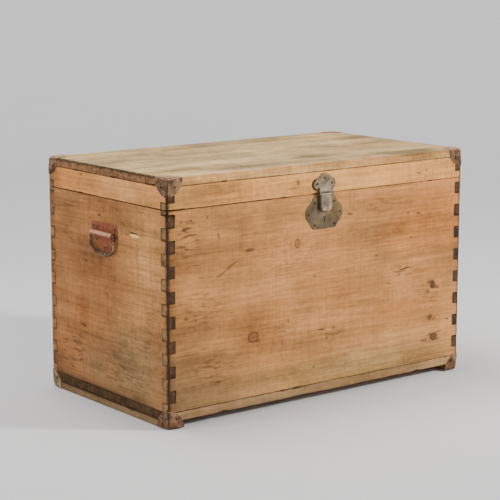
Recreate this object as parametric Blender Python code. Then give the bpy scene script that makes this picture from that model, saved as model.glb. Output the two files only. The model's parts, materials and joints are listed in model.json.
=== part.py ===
"""A finger-jointed wooden chest with a hinged lid, iron hardware and a hasp lock.

Frame: metres, +Z up, +X to the right along the front, the front faces -Y.
The origin is the middle of the footprint, on the floor.
"""

import math

import bmesh
import bpy
from mathutils import Matrix, Vector

# ---- driving dimensions -------------------------------------------------------------------
WIDTH = 0.800                # outside of the wooden box, along X
DEPTH = 0.440                # along Y
HEIGHT = 0.505               # floor to the top of the lid boards
GAP = 0.0003                 # clearance between pieces that touch

SKID_HEIGHT = 0.015
SKID_WIDTH = 0.030
BASE_THICKNESS = 0.020
TOP_THICKNESS = 0.018
FRONT_THICKNESS = 0.020      # front and back panels
SIDE_THICKNESS = 0.018       # left and right panels
SEAM_Z = 0.4414              # height of the saw cut between body and lid
SEAM_GAP = 0.0006
BASE_JOINT_Y = -0.050        # joint between the two base boards
LID_JOINTS_Y = (-0.148, 0.017)   # joints between the three lid boards

FINGER_PITCH = 0.0251        # height of one finger of the corner joints
FIRST_SIDE_FINGER_Z = 0.0544
SIDE_FINGERS = 9             # the side panels' fingers, the topmost one in the lid
CORNER_RADIUS = 0.003        # worn outer corners of the box

CAP_RADIUS = 0.038           # reach of a corner cap from its corner
CAP_THICKNESS = 0.0010
CAP_FLOOR_GAP = 0.0020       # the bottom caps end this far above the floor

PLATE_THICKNESS = 0.0015     # lid plate and lock plate
HASP_HALF_WIDTH = 0.015
HASP_BOTTOM_Z = 0.405
HASP_PIN_Z = 0.4392
HASP_PIN_Y = -0.2256
HASP_KNUCKLE = 0.0032
HASP_PIN_RADIUS = 0.0012
LUG_OUTER_X = 0.0185         # the lid plate's lugs stand on both sides of the hasp
STAPLE_Z = 0.418
STAPLE_HALF_HEIGHT = 0.0045
STAPLE_HALF_WIDTH = 0.0015
STAPLE_END_Y = -0.2100
SLOT_HALF_WIDTH = 0.0030     # slot for the staple, open at its top
SLOT_BOTTOM_Z = 0.408
CASE_HALF_WIDTH = 0.023
CASE_BOTTOM_Z = 0.376
CASE_TOP_Z = 0.426
CASE_BACK_Y = -0.2075
CASE_WALL = 0.0012
BOLT_Y = (-0.2164, -0.2128)   # the bolt's faces, inside the staple's eye
BOLT_HALF_HEIGHT = 0.0020
EYE_CLEARANCE = 0.0009       # around the bolt
KEYHOLE_Z = 0.3895
KEYHOLE_RADIUS = 0.0022

HANDLE_Y = 0.002             # middle of both handles
BARREL_Z = 0.367             # axis that a handle's ring turns on
BARREL_RADIUS = 0.0060
BARREL_BORE = 0.0038
BARREL_HALF_LENGTH = 0.0385
HANDLE_PLATE = 0.0012
RING_RADIUS = 0.0034         # radius of the ring's rod
RING_HALF_WIDTH = 0.0435     # to the middle of the rod
RING_DROP = 0.0415           # from the axis to the middle of the rod at the bottom

HINGE_X = (-0.270, 0.270)
HINGE_HALF_WIDTH = 0.030
HINGE_CENTRE_KNUCKLE = 0.010     # half length of the lid leaf's knuckle
HINGE_LEAF = 0.0018
HINGE_REACH = 0.042
HINGE_KNUCKLE = 0.0032
HINGE_PIN_RADIUS = 0.0013
HINGE_STOP_ANGLE = math.radians(66.5)    # of each stop lip, from straight back
HINGE_STOP_LENGTH = 0.0080
HINGE_STOP_THICKNESS = 0.0016

NAIL_SHANK = 0.0011
NAIL_LENGTH = 0.012
NAIL_HEAD = 0.0026
NAIL_DOME = 0.0010

# ---- values that follow from them ---------------------------------------------------------
HALF_W = WIDTH / 2
HALF_D = DEPTH / 2
BASE_TOP = SKID_HEIGHT + BASE_THICKNESS
LID_RAIL_TOP = HEIGHT - TOP_THICKNESS
BODY_Z = (BASE_TOP + GAP, SEAM_Z - SEAM_GAP / 2)
LID_Z = (SEAM_Z + SEAM_GAP / 2, LID_RAIL_TOP)
PLATE_BACK_Y = -HALF_D - GAP
PLATE_FRONT_Y = PLATE_BACK_Y - PLATE_THICKNESS
HINGE_AXIS_Y = HALF_D + GAP + HINGE_KNUCKLE
RING_AXIS_X = HALF_W + GAP + HANDLE_PLATE + BARREL_RADIUS - 0.0004

MATERIALS = {
    "pine": ((0.52, 0.32, 0.17, 1.0), 0.75, 0.0),
    "end_grain": ((0.20, 0.15, 0.09, 1.0), 0.85, 0.0),
    "pale_pine": ((0.55, 0.45, 0.32, 1.0), 0.80, 0.0),
    "rusty_iron": ((0.18, 0.11, 0.08, 1.0), 0.70, 0.7),
    "red_rust": ((0.28, 0.12, 0.07, 1.0), 0.75, 0.5),
    "aged_steel": ((0.24, 0.21, 0.15, 1.0), 0.45, 0.9),
    "worn_steel": ((0.36, 0.34, 0.33, 1.0), 0.38, 0.9),
    "dark_nail": ((0.07, 0.05, 0.04, 1.0), 0.60, 0.8),
    "brass": ((0.45, 0.33, 0.13, 1.0), 0.40, 0.9),
}


# ---- scene and helpers --------------------------------------------------------------------
def clear_scene():
    for obj in list(bpy.data.objects):
        bpy.data.objects.remove(obj, do_unlink=True)


def material(name):
    existing = bpy.data.materials.get(name)
    if existing:
        return existing
    colour, roughness, metallic = MATERIALS[name]
    made = bpy.data.materials.new(name)
    made.use_nodes = True
    shader = made.node_tree.nodes["Principled BSDF"]
    shader.inputs["Base Color"].default_value = colour
    shader.inputs["Roughness"].default_value = roughness
    shader.inputs["Metallic"].default_value = metallic
    made.diffuse_color = colour
    return made


def add_object(name, bm, finish, parent=None, origin=(0, 0, 0), smooth=False):
    """Make an object of bm, given in world metres, with its origin at the given point."""
    bmesh.ops.recalc_face_normals(bm, faces=bm.faces)
    bmesh.ops.translate(bm, vec=-Vector(origin), verts=bm.verts)
    mesh = bpy.data.meshes.new(name)
    bm.to_mesh(mesh)
    bm.free()
    if smooth:
        mesh.shade_smooth()
        mesh.set_sharp_from_angle(angle=math.radians(35))
    obj = bpy.data.objects.new(name, mesh)
    mesh.materials.append(material(finish))
    bpy.context.scene.collection.objects.link(obj)
    if parent:
        obj.parent = parent
        obj.location = Vector(origin) - parent.location
    else:
        obj.location = origin
    return obj


def add_pivot(name, location):
    """An empty on a joint's axis, which carries the pieces that move with it."""
    pivot = bpy.data.objects.new(name, None)
    pivot.location = location
    bpy.context.scene.collection.objects.link(pivot)
    return pivot


def arc(centre, radius, start, end, steps):
    """Points on a circle's arc, from start to end in degrees."""
    points = []
    for i in range(steps + 1):
        a = math.radians(start + (end - start) * i / steps)
        points.append((centre[0] + radius * math.cos(a), centre[1] + radius * math.sin(a)))
    return points


def prism(bm, outline, low, high, axis="Y"):
    """Extrude an outline along an axis. Its points are (Y, Z), (X, Z) or (X, Y)."""
    def place(u, v, w):
        return {"X": (w, u, v), "Y": (u, w, v), "Z": (u, v, w)}[axis]

    bottom = [bm.verts.new(place(u, v, low)) for u, v in outline]
    top = [bm.verts.new(place(u, v, high)) for u, v in outline]
    bm.faces.new(bottom)
    bm.faces.new(top)
    count = len(outline)
    for i in range(count):
        j = (i + 1) % count
        bm.faces.new((bottom[i], bottom[j], top[j], top[i]))
    return bm


def box(bm, low, high):
    matrix = Matrix.Translation((Vector(low) + Vector(high)) / 2)
    size = Vector(high) - Vector(low)
    scale = Matrix.Diagonal((*size, 1.0))
    bmesh.ops.create_cube(bm, size=1.0, matrix=matrix @ scale)
    return bm


def rounded_box(low, high, radius, segments=2):
    bm = box(bmesh.new(), low, high)
    bmesh.ops.bevel(bm, geom=bm.edges[:], offset=radius, segments=segments,
                    profile=0.5, affect="EDGES")
    return bm


def rod(bm, start, end, radius, sides=16):
    start = Vector(start)
    along = Vector(end) - start
    turn = along.to_track_quat("Z", "Y").to_matrix().to_4x4()
    matrix = Matrix.Translation(start + along / 2) @ turn
    bmesh.ops.create_cone(bm, cap_ends=True, segments=sides, radius1=radius,
                          radius2=radius, depth=along.length, matrix=matrix)
    return bm


def boolean(obj, shape, operation):
    """Cut obj with a closed shape in world metres, or join the shape to it."""
    bmesh.ops.recalc_face_normals(shape, faces=shape.faces)
    mesh = bpy.data.meshes.new(obj.name + "_tool")
    shape.to_mesh(mesh)
    shape.free()
    tool = bpy.data.objects.new(obj.name + "_tool", mesh)
    tool.hide_render = True
    tool.display_type = "WIRE"
    bpy.context.scene.collection.objects.link(tool)
    modifier = obj.modifiers.new(operation.lower(), "BOOLEAN")
    modifier.operation = operation
    modifier.object = tool


def mirrored(points):
    """The outline of a shape whose right half is given from bottom to top."""
    return points + [(-u, v) for u, v in reversed(points)]


# ---- wooden box ---------------------------------------------------------------------------
def side_finger_ranges():
    """Heights that the side panels' fingers take at the corners."""
    ranges = []
    for i in range(SIDE_FINGERS):
        low = FIRST_SIDE_FINGER_Z + 2 * i * FINGER_PITCH
        ranges.append((low, low + FINGER_PITCH))
    return ranges


def edge_profile(z_low, z_high, full, notched, full_on_side_fingers):
    """The stepped edge of one panel, from z_low up to z_high, as (reach, z) points."""
    points = []
    cuts = [z for pair in side_finger_ranges() for z in pair]
    levels = [z_low] + [z for z in cuts if z_low < z < z_high] + [z_high]
    for low, high in zip(levels, levels[1:]):
        middle = (low + high) / 2
        on_side_finger = any(a < middle < b for a, b in side_finger_ranges())
        reach = full if on_side_finger == full_on_side_fingers else notched
        inset = GAP / 2 if reach == full else -GAP / 2
        points.append((reach, low + (inset if low > z_low else 0)))
        points.append((reach, high - (inset if high < z_high else 0)))
    return points


def round_corner_edges(bm):
    """Round the edges that lie on the box's upright corners or around the top of the lid."""
    edges = []
    for edge in bm.edges:
        middle = (edge.verts[0].co + edge.verts[1].co) / 2
        outer_faces = [abs(abs(middle.x) - HALF_W) < 1e-5,
                       abs(abs(middle.y) - HALF_D) < 1e-5,
                       abs(middle.z - HEIGHT) < 1e-5]
        if sum(outer_faces) == 2:
            edges.append(edge)
    bmesh.ops.bevel(bm, geom=edges, offset=CORNER_RADIUS, segments=2,
                    profile=0.5, affect="EDGES")


def long_panel(name, z_range, side, parent=None, origin=(0, 0, 0)):
    """Front or back board of the box or lid: side is -1 at the front and +1 at the back."""
    half = edge_profile(*z_range, HALF_W, HALF_W - SIDE_THICKNESS - GAP, False)
    outline = mirrored(half)
    faces_y = sorted((side * HALF_D, side * (HALF_D - FRONT_THICKNESS)))
    bm = prism(bmesh.new(), outline, *faces_y, axis="Y")
    round_corner_edges(bm)
    return add_object(name, bm, "pine", parent, origin)


def side_panel(name, z_range, side, parent=None, origin=(0, 0, 0)):
    """Left or right board of the box or lid: side is -1 at the left and +1 at the right."""
    half = edge_profile(*z_range, HALF_D, HALF_D - FRONT_THICKNESS - GAP, True)
    outline = mirrored(half)
    faces_x = sorted((side * HALF_W, side * (HALF_W - SIDE_THICKNESS)))
    bm = prism(bmesh.new(), outline, *faces_x, axis="X")
    round_corner_edges(bm)
    return add_object(name, bm, "pine", parent, origin)


def flat_board(name, y_range, z_range, parent=None, origin=(0, 0, 0)):
    """A board as long as the box, whose outer corners are rounded."""
    y_low, y_high = y_range
    bm = box(bmesh.new(), (-HALF_W, y_low, z_range[0]), (HALF_W, y_high, z_range[1]))
    round_corner_edges(bm)
    return add_object(name, bm, "pale_pine", parent, origin)


def make_base():
    for name, side in (("skid_left", -1), ("skid_right", 1)):
        x_outer = side * HALF_W
        x_inner = side * (HALF_W - SKID_WIDTH)
        bm = box(bmesh.new(), (min(x_outer, x_inner), -HALF_D, 0),
                 (max(x_outer, x_inner), HALF_D, SKID_HEIGHT))
        round_corner_edges(bm)
        add_object(name, bm, "end_grain")
    z_range = (SKID_HEIGHT + GAP, BASE_TOP)
    flat_board("base_board_front", (-HALF_D, BASE_JOINT_Y - GAP / 2), z_range)
    flat_board("base_board_back", (BASE_JOINT_Y + GAP / 2, HALF_D), z_range)


def make_body():
    """The four walls of the box. The front has a pocket for the lock and a staple slot."""
    front = long_panel("front_panel", BODY_Z, -1)
    long_panel("back_panel", BODY_Z, 1)
    left = side_panel("left_panel", BODY_Z, -1)
    right = side_panel("right_panel", BODY_Z, 1)
    outside = -HALF_D - 0.001
    pocket_low = (-CASE_HALF_WIDTH - GAP, outside, CASE_BOTTOM_Z - GAP)
    pocket_high = (CASE_HALF_WIDTH + GAP, CASE_BACK_Y + GAP, CASE_TOP_Z + GAP)
    boolean(front, box(bmesh.new(), pocket_low, pocket_high), "DIFFERENCE")
    slot_low = (-SLOT_HALF_WIDTH, outside, CASE_TOP_Z - 0.002)
    slot_high = (SLOT_HALF_WIDTH, CASE_BACK_Y + GAP, SEAM_Z + 0.002)
    boolean(front, box(bmesh.new(), slot_low, slot_high), "DIFFERENCE")
    for side, panel in ((-1, left), (1, right)):
        for y, z in handle_nails():
            start = (side * (HALF_W + 0.001), HANDLE_Y + y, z)
            end = (side * (HALF_W - NAIL_LENGTH - 0.001), HANDLE_Y + y, z)
            boolean(panel, rod(bmesh.new(), start, end, NAIL_SHANK + GAP, 8), "DIFFERENCE")
    for x, z in lock_nails():
        drill_front(front, x, z)


def make_lid(pivot):
    origin = pivot.location
    front = long_panel("lid_front_rail", LID_Z, -1, pivot, origin)
    long_panel("lid_back_rail", LID_Z, 1, pivot, origin)
    side_panel("lid_left_rail", LID_Z, -1, pivot, origin)
    side_panel("lid_right_rail", LID_Z, 1, pivot, origin)
    for x, z in lid_plate_nails():
        drill_front(front, x, z)
    edges = (-HALF_D, *LID_JOINTS_Y, HALF_D)
    names = ("lid_board_front", "lid_board_middle", "lid_board_back")
    for name, low, high in zip(names, edges, edges[1:]):
        y_low = low + (GAP / 2 if low > -HALF_D else 0)
        y_high = high - (GAP / 2 if high < HALF_D else 0)
        flat_board(name, (y_low, y_high), (LID_RAIL_TOP + GAP, HEIGHT), pivot, origin)


def drill_front(panel, x, z):
    start = (x, -HALF_D - 0.001, z)
    end = (x, -HALF_D + NAIL_LENGTH + 0.001, z)
    boolean(panel, rod(bmesh.new(), start, end, NAIL_SHANK + GAP, 8), "DIFFERENCE")


# ---- corner caps --------------------------------------------------------------------------
def make_cap(name, signs, finish, parent=None, origin=(0, 0, 0)):
    """A sheet-iron cap over one corner, with a rounded lobe on each of the three faces."""
    corner = Vector((signs[0] * HALF_W, signs[1] * HALF_D, HEIGHT if signs[2] > 0 else 0))
    block = 2 * CAP_RADIUS

    def corner_block(grow, radius):
        outer = corner + Vector(signs) * grow
        inner = corner - Vector(signs) * block
        low = [min(a, b) for a, b in zip(outer, inner)]
        high = [max(a, b) for a, b in zip(outer, inner)]
        if signs[2] < 0:
            low[2] -= block
        return rounded_box(low, high, radius)

    cap = add_object(name, corner_block(GAP + CAP_THICKNESS, CORNER_RADIUS + CAP_THICKNESS),
                     finish, parent, origin, smooth=True)
    ball = bmesh.new()
    turn = Vector(signs).to_track_quat("Z", "Y").to_matrix().to_4x4()
    bmesh.ops.create_uvsphere(ball, u_segments=30, v_segments=18, radius=CAP_RADIUS,
                              matrix=Matrix.Translation(corner) @ turn)
    boolean(cap, ball, "INTERSECT")
    boolean(cap, corner_block(GAP, CORNER_RADIUS), "DIFFERENCE")
    if signs[2] < 0:
        low = corner - Vector((block, block, block))
        high = corner + Vector((block, block, CAP_FLOOR_GAP))
        boolean(cap, box(bmesh.new(), low, high), "DIFFERENCE")


def make_caps(lid_pivot):
    for z_sign, level in ((-1, "bottom"), (1, "top")):
        for y_sign, depth_name in ((-1, "front"), (1, "back")):
            for x_sign, side_name in ((-1, "left"), (1, "right")):
                name = f"corner_cap_{level}_{depth_name}_{side_name}"
                if z_sign > 0:
                    make_cap(name, (x_sign, y_sign, z_sign), "rusty_iron",
                             lid_pivot, lid_pivot.location)
                else:
                    make_cap(name, (x_sign, y_sign, z_sign), "rusty_iron")


# ---- nails --------------------------------------------------------------------------------
def nail(name, point, outward, parent=None, origin=(0, 0, 0)):
    """A domed nail: point is where its head meets the plate, outward leaves the wood."""
    sides = 8
    rings = ((0.0, -NAIL_LENGTH), (NAIL_SHANK, -NAIL_LENGTH + 0.001), (NAIL_SHANK, 0.0),
             (NAIL_HEAD, 0.0), (NAIL_HEAD * 0.75, NAIL_DOME * 0.7), (0.0, NAIL_DOME))
    turn = Vector(outward).to_track_quat("Z", "Y").to_matrix().to_4x4()
    matrix = Matrix.Translation(Vector(point) + Vector(outward) * GAP) @ turn
    bm = bmesh.new()
    previous = None
    for radius, height in rings:
        if radius == 0.0:
            ring = [bm.verts.new(matrix @ Vector((0, 0, height)))]
        else:
            ring = []
            for i in range(sides):
                a = 2 * math.pi * (i + 0.5) / sides
                spot = Vector((radius * math.cos(a), radius * math.sin(a), height))
                ring.append(bm.verts.new(matrix @ spot))
        if previous:
            bridge(bm, previous, ring)
        previous = ring
    add_object(name, bm, "dark_nail", parent, origin, smooth=True)


def bridge(bm, lower, upper):
    """Join two rings of vertices, either of which may be a single point."""
    count = max(len(lower), len(upper))
    for i in range(count):
        j = (i + 1) % count
        corners = [lower[i % len(lower)], lower[j % len(lower)],
                   upper[j % len(upper)], upper[i % len(upper)]]
        bm.faces.new(list(dict.fromkeys(corners)))


def lid_plate_nails():
    return ((0.0, 0.4730), (-0.0200, 0.4615), (0.0200, 0.4615))


def lock_nails():
    return ((-0.0265, 0.4220), (0.0265, 0.4220), (-0.0420, 0.3990),
            (0.0420, 0.3990), (-0.0265, 0.3755), (0.0265, 0.3755))


def handle_nails():
    """(Y from the handle's middle, Z) of the five nails of a handle plate."""
    return ((-0.039, 0.380), (0.039, 0.380), (-0.029, 0.353), (0.029, 0.353), (0.0, 0.338))


# ---- latch --------------------------------------------------------------------------------
def make_lid_plate(pivot):
    """A trefoil plate on the lid, raised at its waist, with a lug beside each end of the hasp."""
    half = [(0.0165, 0.4432), (0.0180, 0.4470)]
    half += arc((0.0195, 0.4600), 0.0100, -85, 75, 9)
    half += arc((0.0, 0.4665), 0.0172, 35, 85, 5)
    plate = prism(bmesh.new(), mirrored(half), PLATE_FRONT_Y, PLATE_BACK_Y, axis="Y")
    obj = add_object("lid_plate", plate, "aged_steel", pivot, pivot.location, smooth=True)
    front = HASP_PIN_Y - HASP_KNUCKLE
    knuckle_top = HASP_PIN_Z + HASP_KNUCKLE + GAP * 2
    back = PLATE_BACK_Y - 0.0003
    waist = [(back, knuckle_top), (front, knuckle_top), (front, knuckle_top + 0.004),
             (PLATE_FRONT_Y, knuckle_top + 0.013), (back, knuckle_top + 0.013)]
    boolean(obj, prism(bmesh.new(), waist, -0.0160, 0.0160, axis="X"), "UNION")
    for side in (-1, 1):
        inner = HASP_HALF_WIDTH + GAP
        x_range = sorted((side * inner, side * LUG_OUTER_X))
        lug = arc((HASP_PIN_Y, HASP_PIN_Z), HASP_KNUCKLE, 180, 360, 8)
        lug += [(back, HASP_PIN_Z + 0.001), (back, knuckle_top + 0.006),
                (front + 0.002, knuckle_top + 0.006), (front, knuckle_top + 0.003)]
        boolean(obj, prism(bmesh.new(), lug, *x_range, axis="X"), "UNION")
    boolean(obj, hasp_pin_hole(), "DIFFERENCE")
    for x, z in lid_plate_nails():
        boolean(obj, rod(bmesh.new(), (x, PLATE_FRONT_Y - 0.002, z), (x, PLATE_BACK_Y + 0.002, z),
                         NAIL_SHANK + GAP, 8), "DIFFERENCE")
    for i, (x, z) in enumerate(lid_plate_nails()):
        nail(f"lid_plate_nail_{i + 1}", (x, PLATE_FRONT_Y, z), (0, -1, 0),
             pivot, pivot.location)


def hasp_pin_hole():
    return rod(bmesh.new(), (-0.03, HASP_PIN_Y, HASP_PIN_Z), (0.03, HASP_PIN_Y, HASP_PIN_Z),
               HASP_PIN_RADIUS + GAP, 12)


def make_hasp(pivot):
    """The swinging tongue: a full-width knuckle at the top and the lock's staple behind."""
    front = HASP_PIN_Y - HASP_KNUCKLE + 0.0004
    back = PLATE_FRONT_Y - 0.0007
    corner = 0.007
    side = HASP_HALF_WIDTH
    outline = [(side, HASP_PIN_Z), (-side, HASP_PIN_Z)]
    outline += arc((-side + corner, HASP_BOTTOM_Z + corner), corner, 180, 270, 5)
    outline += arc((side - corner, HASP_BOTTOM_Z + corner), corner, 270, 360, 5)
    tongue = prism(bmesh.new(), outline, front, back, axis="Y")
    edges = [e for e in tongue.edges if all(abs(v.co.y - front) < 1e-6 for v in e.verts)
             and any(v.co.z < HASP_PIN_Z - 1e-4 for v in e.verts)]
    bmesh.ops.bevel(tongue, geom=edges, offset=0.0014, segments=2, profile=0.5, affect="EDGES")
    hasp = add_object("hasp", tongue, "worn_steel", pivot, (0, HASP_PIN_Y, HASP_PIN_Z), smooth=True)
    knuckle = rod(bmesh.new(), (-side, HASP_PIN_Y, HASP_PIN_Z), (side, HASP_PIN_Y, HASP_PIN_Z),
                  HASP_KNUCKLE, 20)
    boolean(hasp, knuckle, "UNION")
    staple_low = (-STAPLE_HALF_WIDTH, (front + back) / 2, STAPLE_Z - STAPLE_HALF_HEIGHT)
    staple_high = (STAPLE_HALF_WIDTH, STAPLE_END_Y, STAPLE_Z + STAPLE_HALF_HEIGHT)
    boolean(hasp, box(bmesh.new(), staple_low, staple_high), "UNION")
    eye_half_height = BOLT_HALF_HEIGHT + EYE_CLEARANCE
    eye_low = (-side, BOLT_Y[0] - EYE_CLEARANCE, STAPLE_Z - eye_half_height)
    eye_high = (side, BOLT_Y[1] + EYE_CLEARANCE, STAPLE_Z + eye_half_height)
    boolean(hasp, box(bmesh.new(), eye_low, eye_high), "DIFFERENCE")
    boolean(hasp, hasp_pin_hole(), "DIFFERENCE")
    pin = rod(bmesh.new(), (-LUG_OUTER_X - 0.0005, HASP_PIN_Y, HASP_PIN_Z),
              (LUG_OUTER_X + 0.0005, HASP_PIN_Y, HASP_PIN_Z), HASP_PIN_RADIUS, 12)
    add_object("hasp_hinge_pin", pin, "aged_steel", pivot, (0, HASP_PIN_Y, HASP_PIN_Z),
               smooth=True)


def make_lock():
    """The nailed lock plate, and behind it the open-fronted case, its key post and its bolt."""
    half = [(0.0310, 0.3675), (0.0330, 0.3715)]
    half += arc((0.0275, 0.4000), 0.0225, -42, 60, 9)
    half += [(0.0340, 0.4240), (0.0290, 0.4340), (0.0200, 0.4355)]
    outline = [(0.0, 0.3660)] + half + [(-x, z) for x, z in reversed(half)]
    plate = add_object("lock_plate",
                       prism(bmesh.new(), outline, PLATE_FRONT_Y, PLATE_BACK_Y, axis="Y"),
                       "aged_steel", smooth=True)
    slot_low = (-SLOT_HALF_WIDTH, PLATE_FRONT_Y - 0.001, SLOT_BOTTOM_Z)
    slot_high = (SLOT_HALF_WIDTH, PLATE_BACK_Y + 0.001, SEAM_Z)
    boolean(plate, box(bmesh.new(), slot_low, slot_high), "DIFFERENCE")
    bow = arc((0.0, KEYHOLE_Z), KEYHOLE_RADIUS, -60, 240, 10)
    keyhole = bow + [(-0.0011, KEYHOLE_Z - 0.0085), (0.0011, KEYHOLE_Z - 0.0085)]
    boolean(plate, prism(bmesh.new(), keyhole, PLATE_FRONT_Y - 0.001, PLATE_BACK_Y + 0.001),
            "DIFFERENCE")
    for i, (x, z) in enumerate(lock_nails()):
        hole = rod(bmesh.new(), (x, PLATE_FRONT_Y - 0.001, z), (x, PLATE_BACK_Y + 0.001, z),
                   NAIL_SHANK + GAP, 8)
        boolean(plate, hole, "DIFFERENCE")
        nail(f"lock_plate_nail_{i + 1}", (x, PLATE_FRONT_Y, z), (0, -1, 0))

    case = add_object("lock_case",
                      box(bmesh.new(), (-CASE_HALF_WIDTH, -HALF_D, CASE_BOTTOM_Z),
                          (CASE_HALF_WIDTH, CASE_BACK_Y, CASE_TOP_Z)), "aged_steel")
    hollow_low = (-CASE_HALF_WIDTH + CASE_WALL, -HALF_D - 0.001, CASE_BOTTOM_Z + CASE_WALL)
    hollow_high = (CASE_HALF_WIDTH - CASE_WALL, CASE_BACK_Y - CASE_WALL, CASE_TOP_Z - CASE_WALL)
    boolean(case, box(bmesh.new(), hollow_low, hollow_high), "DIFFERENCE")
    notch_low = (-SLOT_HALF_WIDTH, -HALF_D - 0.001, CASE_TOP_Z - 0.003)
    notch_high = (SLOT_HALF_WIDTH, CASE_BACK_Y - CASE_WALL, CASE_TOP_Z + 0.001)
    boolean(case, box(bmesh.new(), notch_low, notch_high), "DIFFERENCE")
    post = rod(bmesh.new(), (0, CASE_BACK_Y - CASE_WALL - GAP, KEYHOLE_Z),
               (0, PLATE_FRONT_Y + 0.0006, KEYHOLE_Z), 0.0009, 10)
    add_object("lock_key_post", post, "worn_steel", smooth=True)


def make_lock_bolt():
    """The bolt, drawn back. Thrown, its nose passes through the staple's eye."""
    tail = -0.0210
    talon_left, notch_left, notch_right, talon_right = -0.0185, -0.0160, -0.0132, -0.0108
    nose = -STAPLE_HALF_WIDTH - 0.0012
    talon_z, notch_z = 0.4040, 0.4080
    low = STAPLE_Z - BOLT_HALF_HEIGHT
    high = STAPLE_Z + BOLT_HALF_HEIGHT
    outline = [(tail, low), (talon_left, low), (talon_left, talon_z), (notch_left, talon_z),
               (notch_left, notch_z), (notch_right, notch_z), (notch_right, talon_z),
               (talon_right, talon_z), (talon_right, low), (nose, low), (nose, high),
               (tail, high)]
    bm = prism(bmesh.new(), outline, *BOLT_Y, axis="Y")
    add_object("lock_bolt", bm, "brass", origin=(nose, sum(BOLT_Y) / 2, STAPLE_Z))


# ---- handles ------------------------------------------------------------------------------
def make_handle(side_name, side):
    """One side handle: a shield plate rolled into a barrel, and the ring hung in it."""
    wall = side * (HALF_W + GAP)
    face = side * (HALF_W + GAP + HANDLE_PLATE)
    axis_x = side * RING_AXIS_X
    half = arc((0.0, 0.3560), 0.0300, -88, -20, 8)
    half += [(0.0330, 0.3530), (0.0400, 0.3600), (0.0470, 0.3625)]
    half += arc((0.0440, 0.3870), 0.0030, 0, 90, 3)
    outline = [(u + HANDLE_Y, v) for u, v in mirrored(half)]
    plate = add_object(f"handle_plate_{side_name}",
                       prism(bmesh.new(), outline, min(wall, face), max(wall, face), axis="X"),
                       "red_rust", smooth=True)
    ends = (HANDLE_Y - BARREL_HALF_LENGTH, HANDLE_Y + BARREL_HALF_LENGTH)
    barrel = rod(bmesh.new(), (axis_x, ends[0], BARREL_Z), (axis_x, ends[1], BARREL_Z),
                 BARREL_RADIUS, 20)
    boolean(plate, barrel, "UNION")
    bore = rod(bmesh.new(), (axis_x, ends[0] - 0.001, BARREL_Z),
               (axis_x, ends[1] + 0.001, BARREL_Z), BARREL_BORE, 16)
    boolean(plate, bore, "DIFFERENCE")
    for y, z in handle_nails():
        hole = rod(bmesh.new(), (face + side * 0.001, HANDLE_Y + y, z),
                   (wall - side * 0.001, HANDLE_Y + y, z), NAIL_SHANK + GAP, 8)
        boolean(plate, hole, "DIFFERENCE")
    for i, (y, z) in enumerate(handle_nails()):
        nail(f"handle_nail_{side_name}_{i + 1}", (face, HANDLE_Y + y, z), (side, 0, 0))

    pivot = add_pivot(f"handle_ring_pivot_{side_name}", (axis_x, HANDLE_Y, BARREL_Z))
    ring = bpy.data.curves.new(f"handle_ring_{side_name}", "CURVE")
    ring.dimensions = "3D"
    ring.bevel_depth = RING_RADIUS
    ring.bevel_resolution = 3
    ring.use_fill_caps = True
    path = ring_path()
    spline = ring.splines.new("POLY")
    spline.points.add(len(path) - 1)
    for point, (y, z) in zip(spline.points, path):
        point.co = (0, y, z, 1)
    spline.use_smooth = True
    obj = bpy.data.objects.new(f"handle_ring_{side_name}", ring)
    ring.materials.append(material("rusty_iron"))
    bpy.context.scene.collection.objects.link(obj)
    obj.parent = pivot


def ring_path():
    """(Y, Z) of the ring's rod about its axis: two pins, two legs and a round bottom."""
    elbow = 0.0045
    bow_z = -0.0200
    pin_end = BARREL_HALF_LENGTH - 0.011
    half = [(pin_end, 0.0), (RING_HALF_WIDTH - elbow, 0.0)]
    half += arc((RING_HALF_WIDTH - elbow, -elbow), elbow, 70, 0, 4)
    half += [(RING_HALF_WIDTH, bow_z * 0.6)]
    bow_depth = RING_DROP + bow_z
    steps = 10
    for i in range(steps):
        a = math.pi / 2 * i / steps
        half.append((RING_HALF_WIDTH * math.cos(a) ** 0.8, bow_z - bow_depth * math.sin(a)))
    return half + [(0.0, -RING_DROP)] + [(-y, z) for y, z in reversed(half)]


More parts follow.
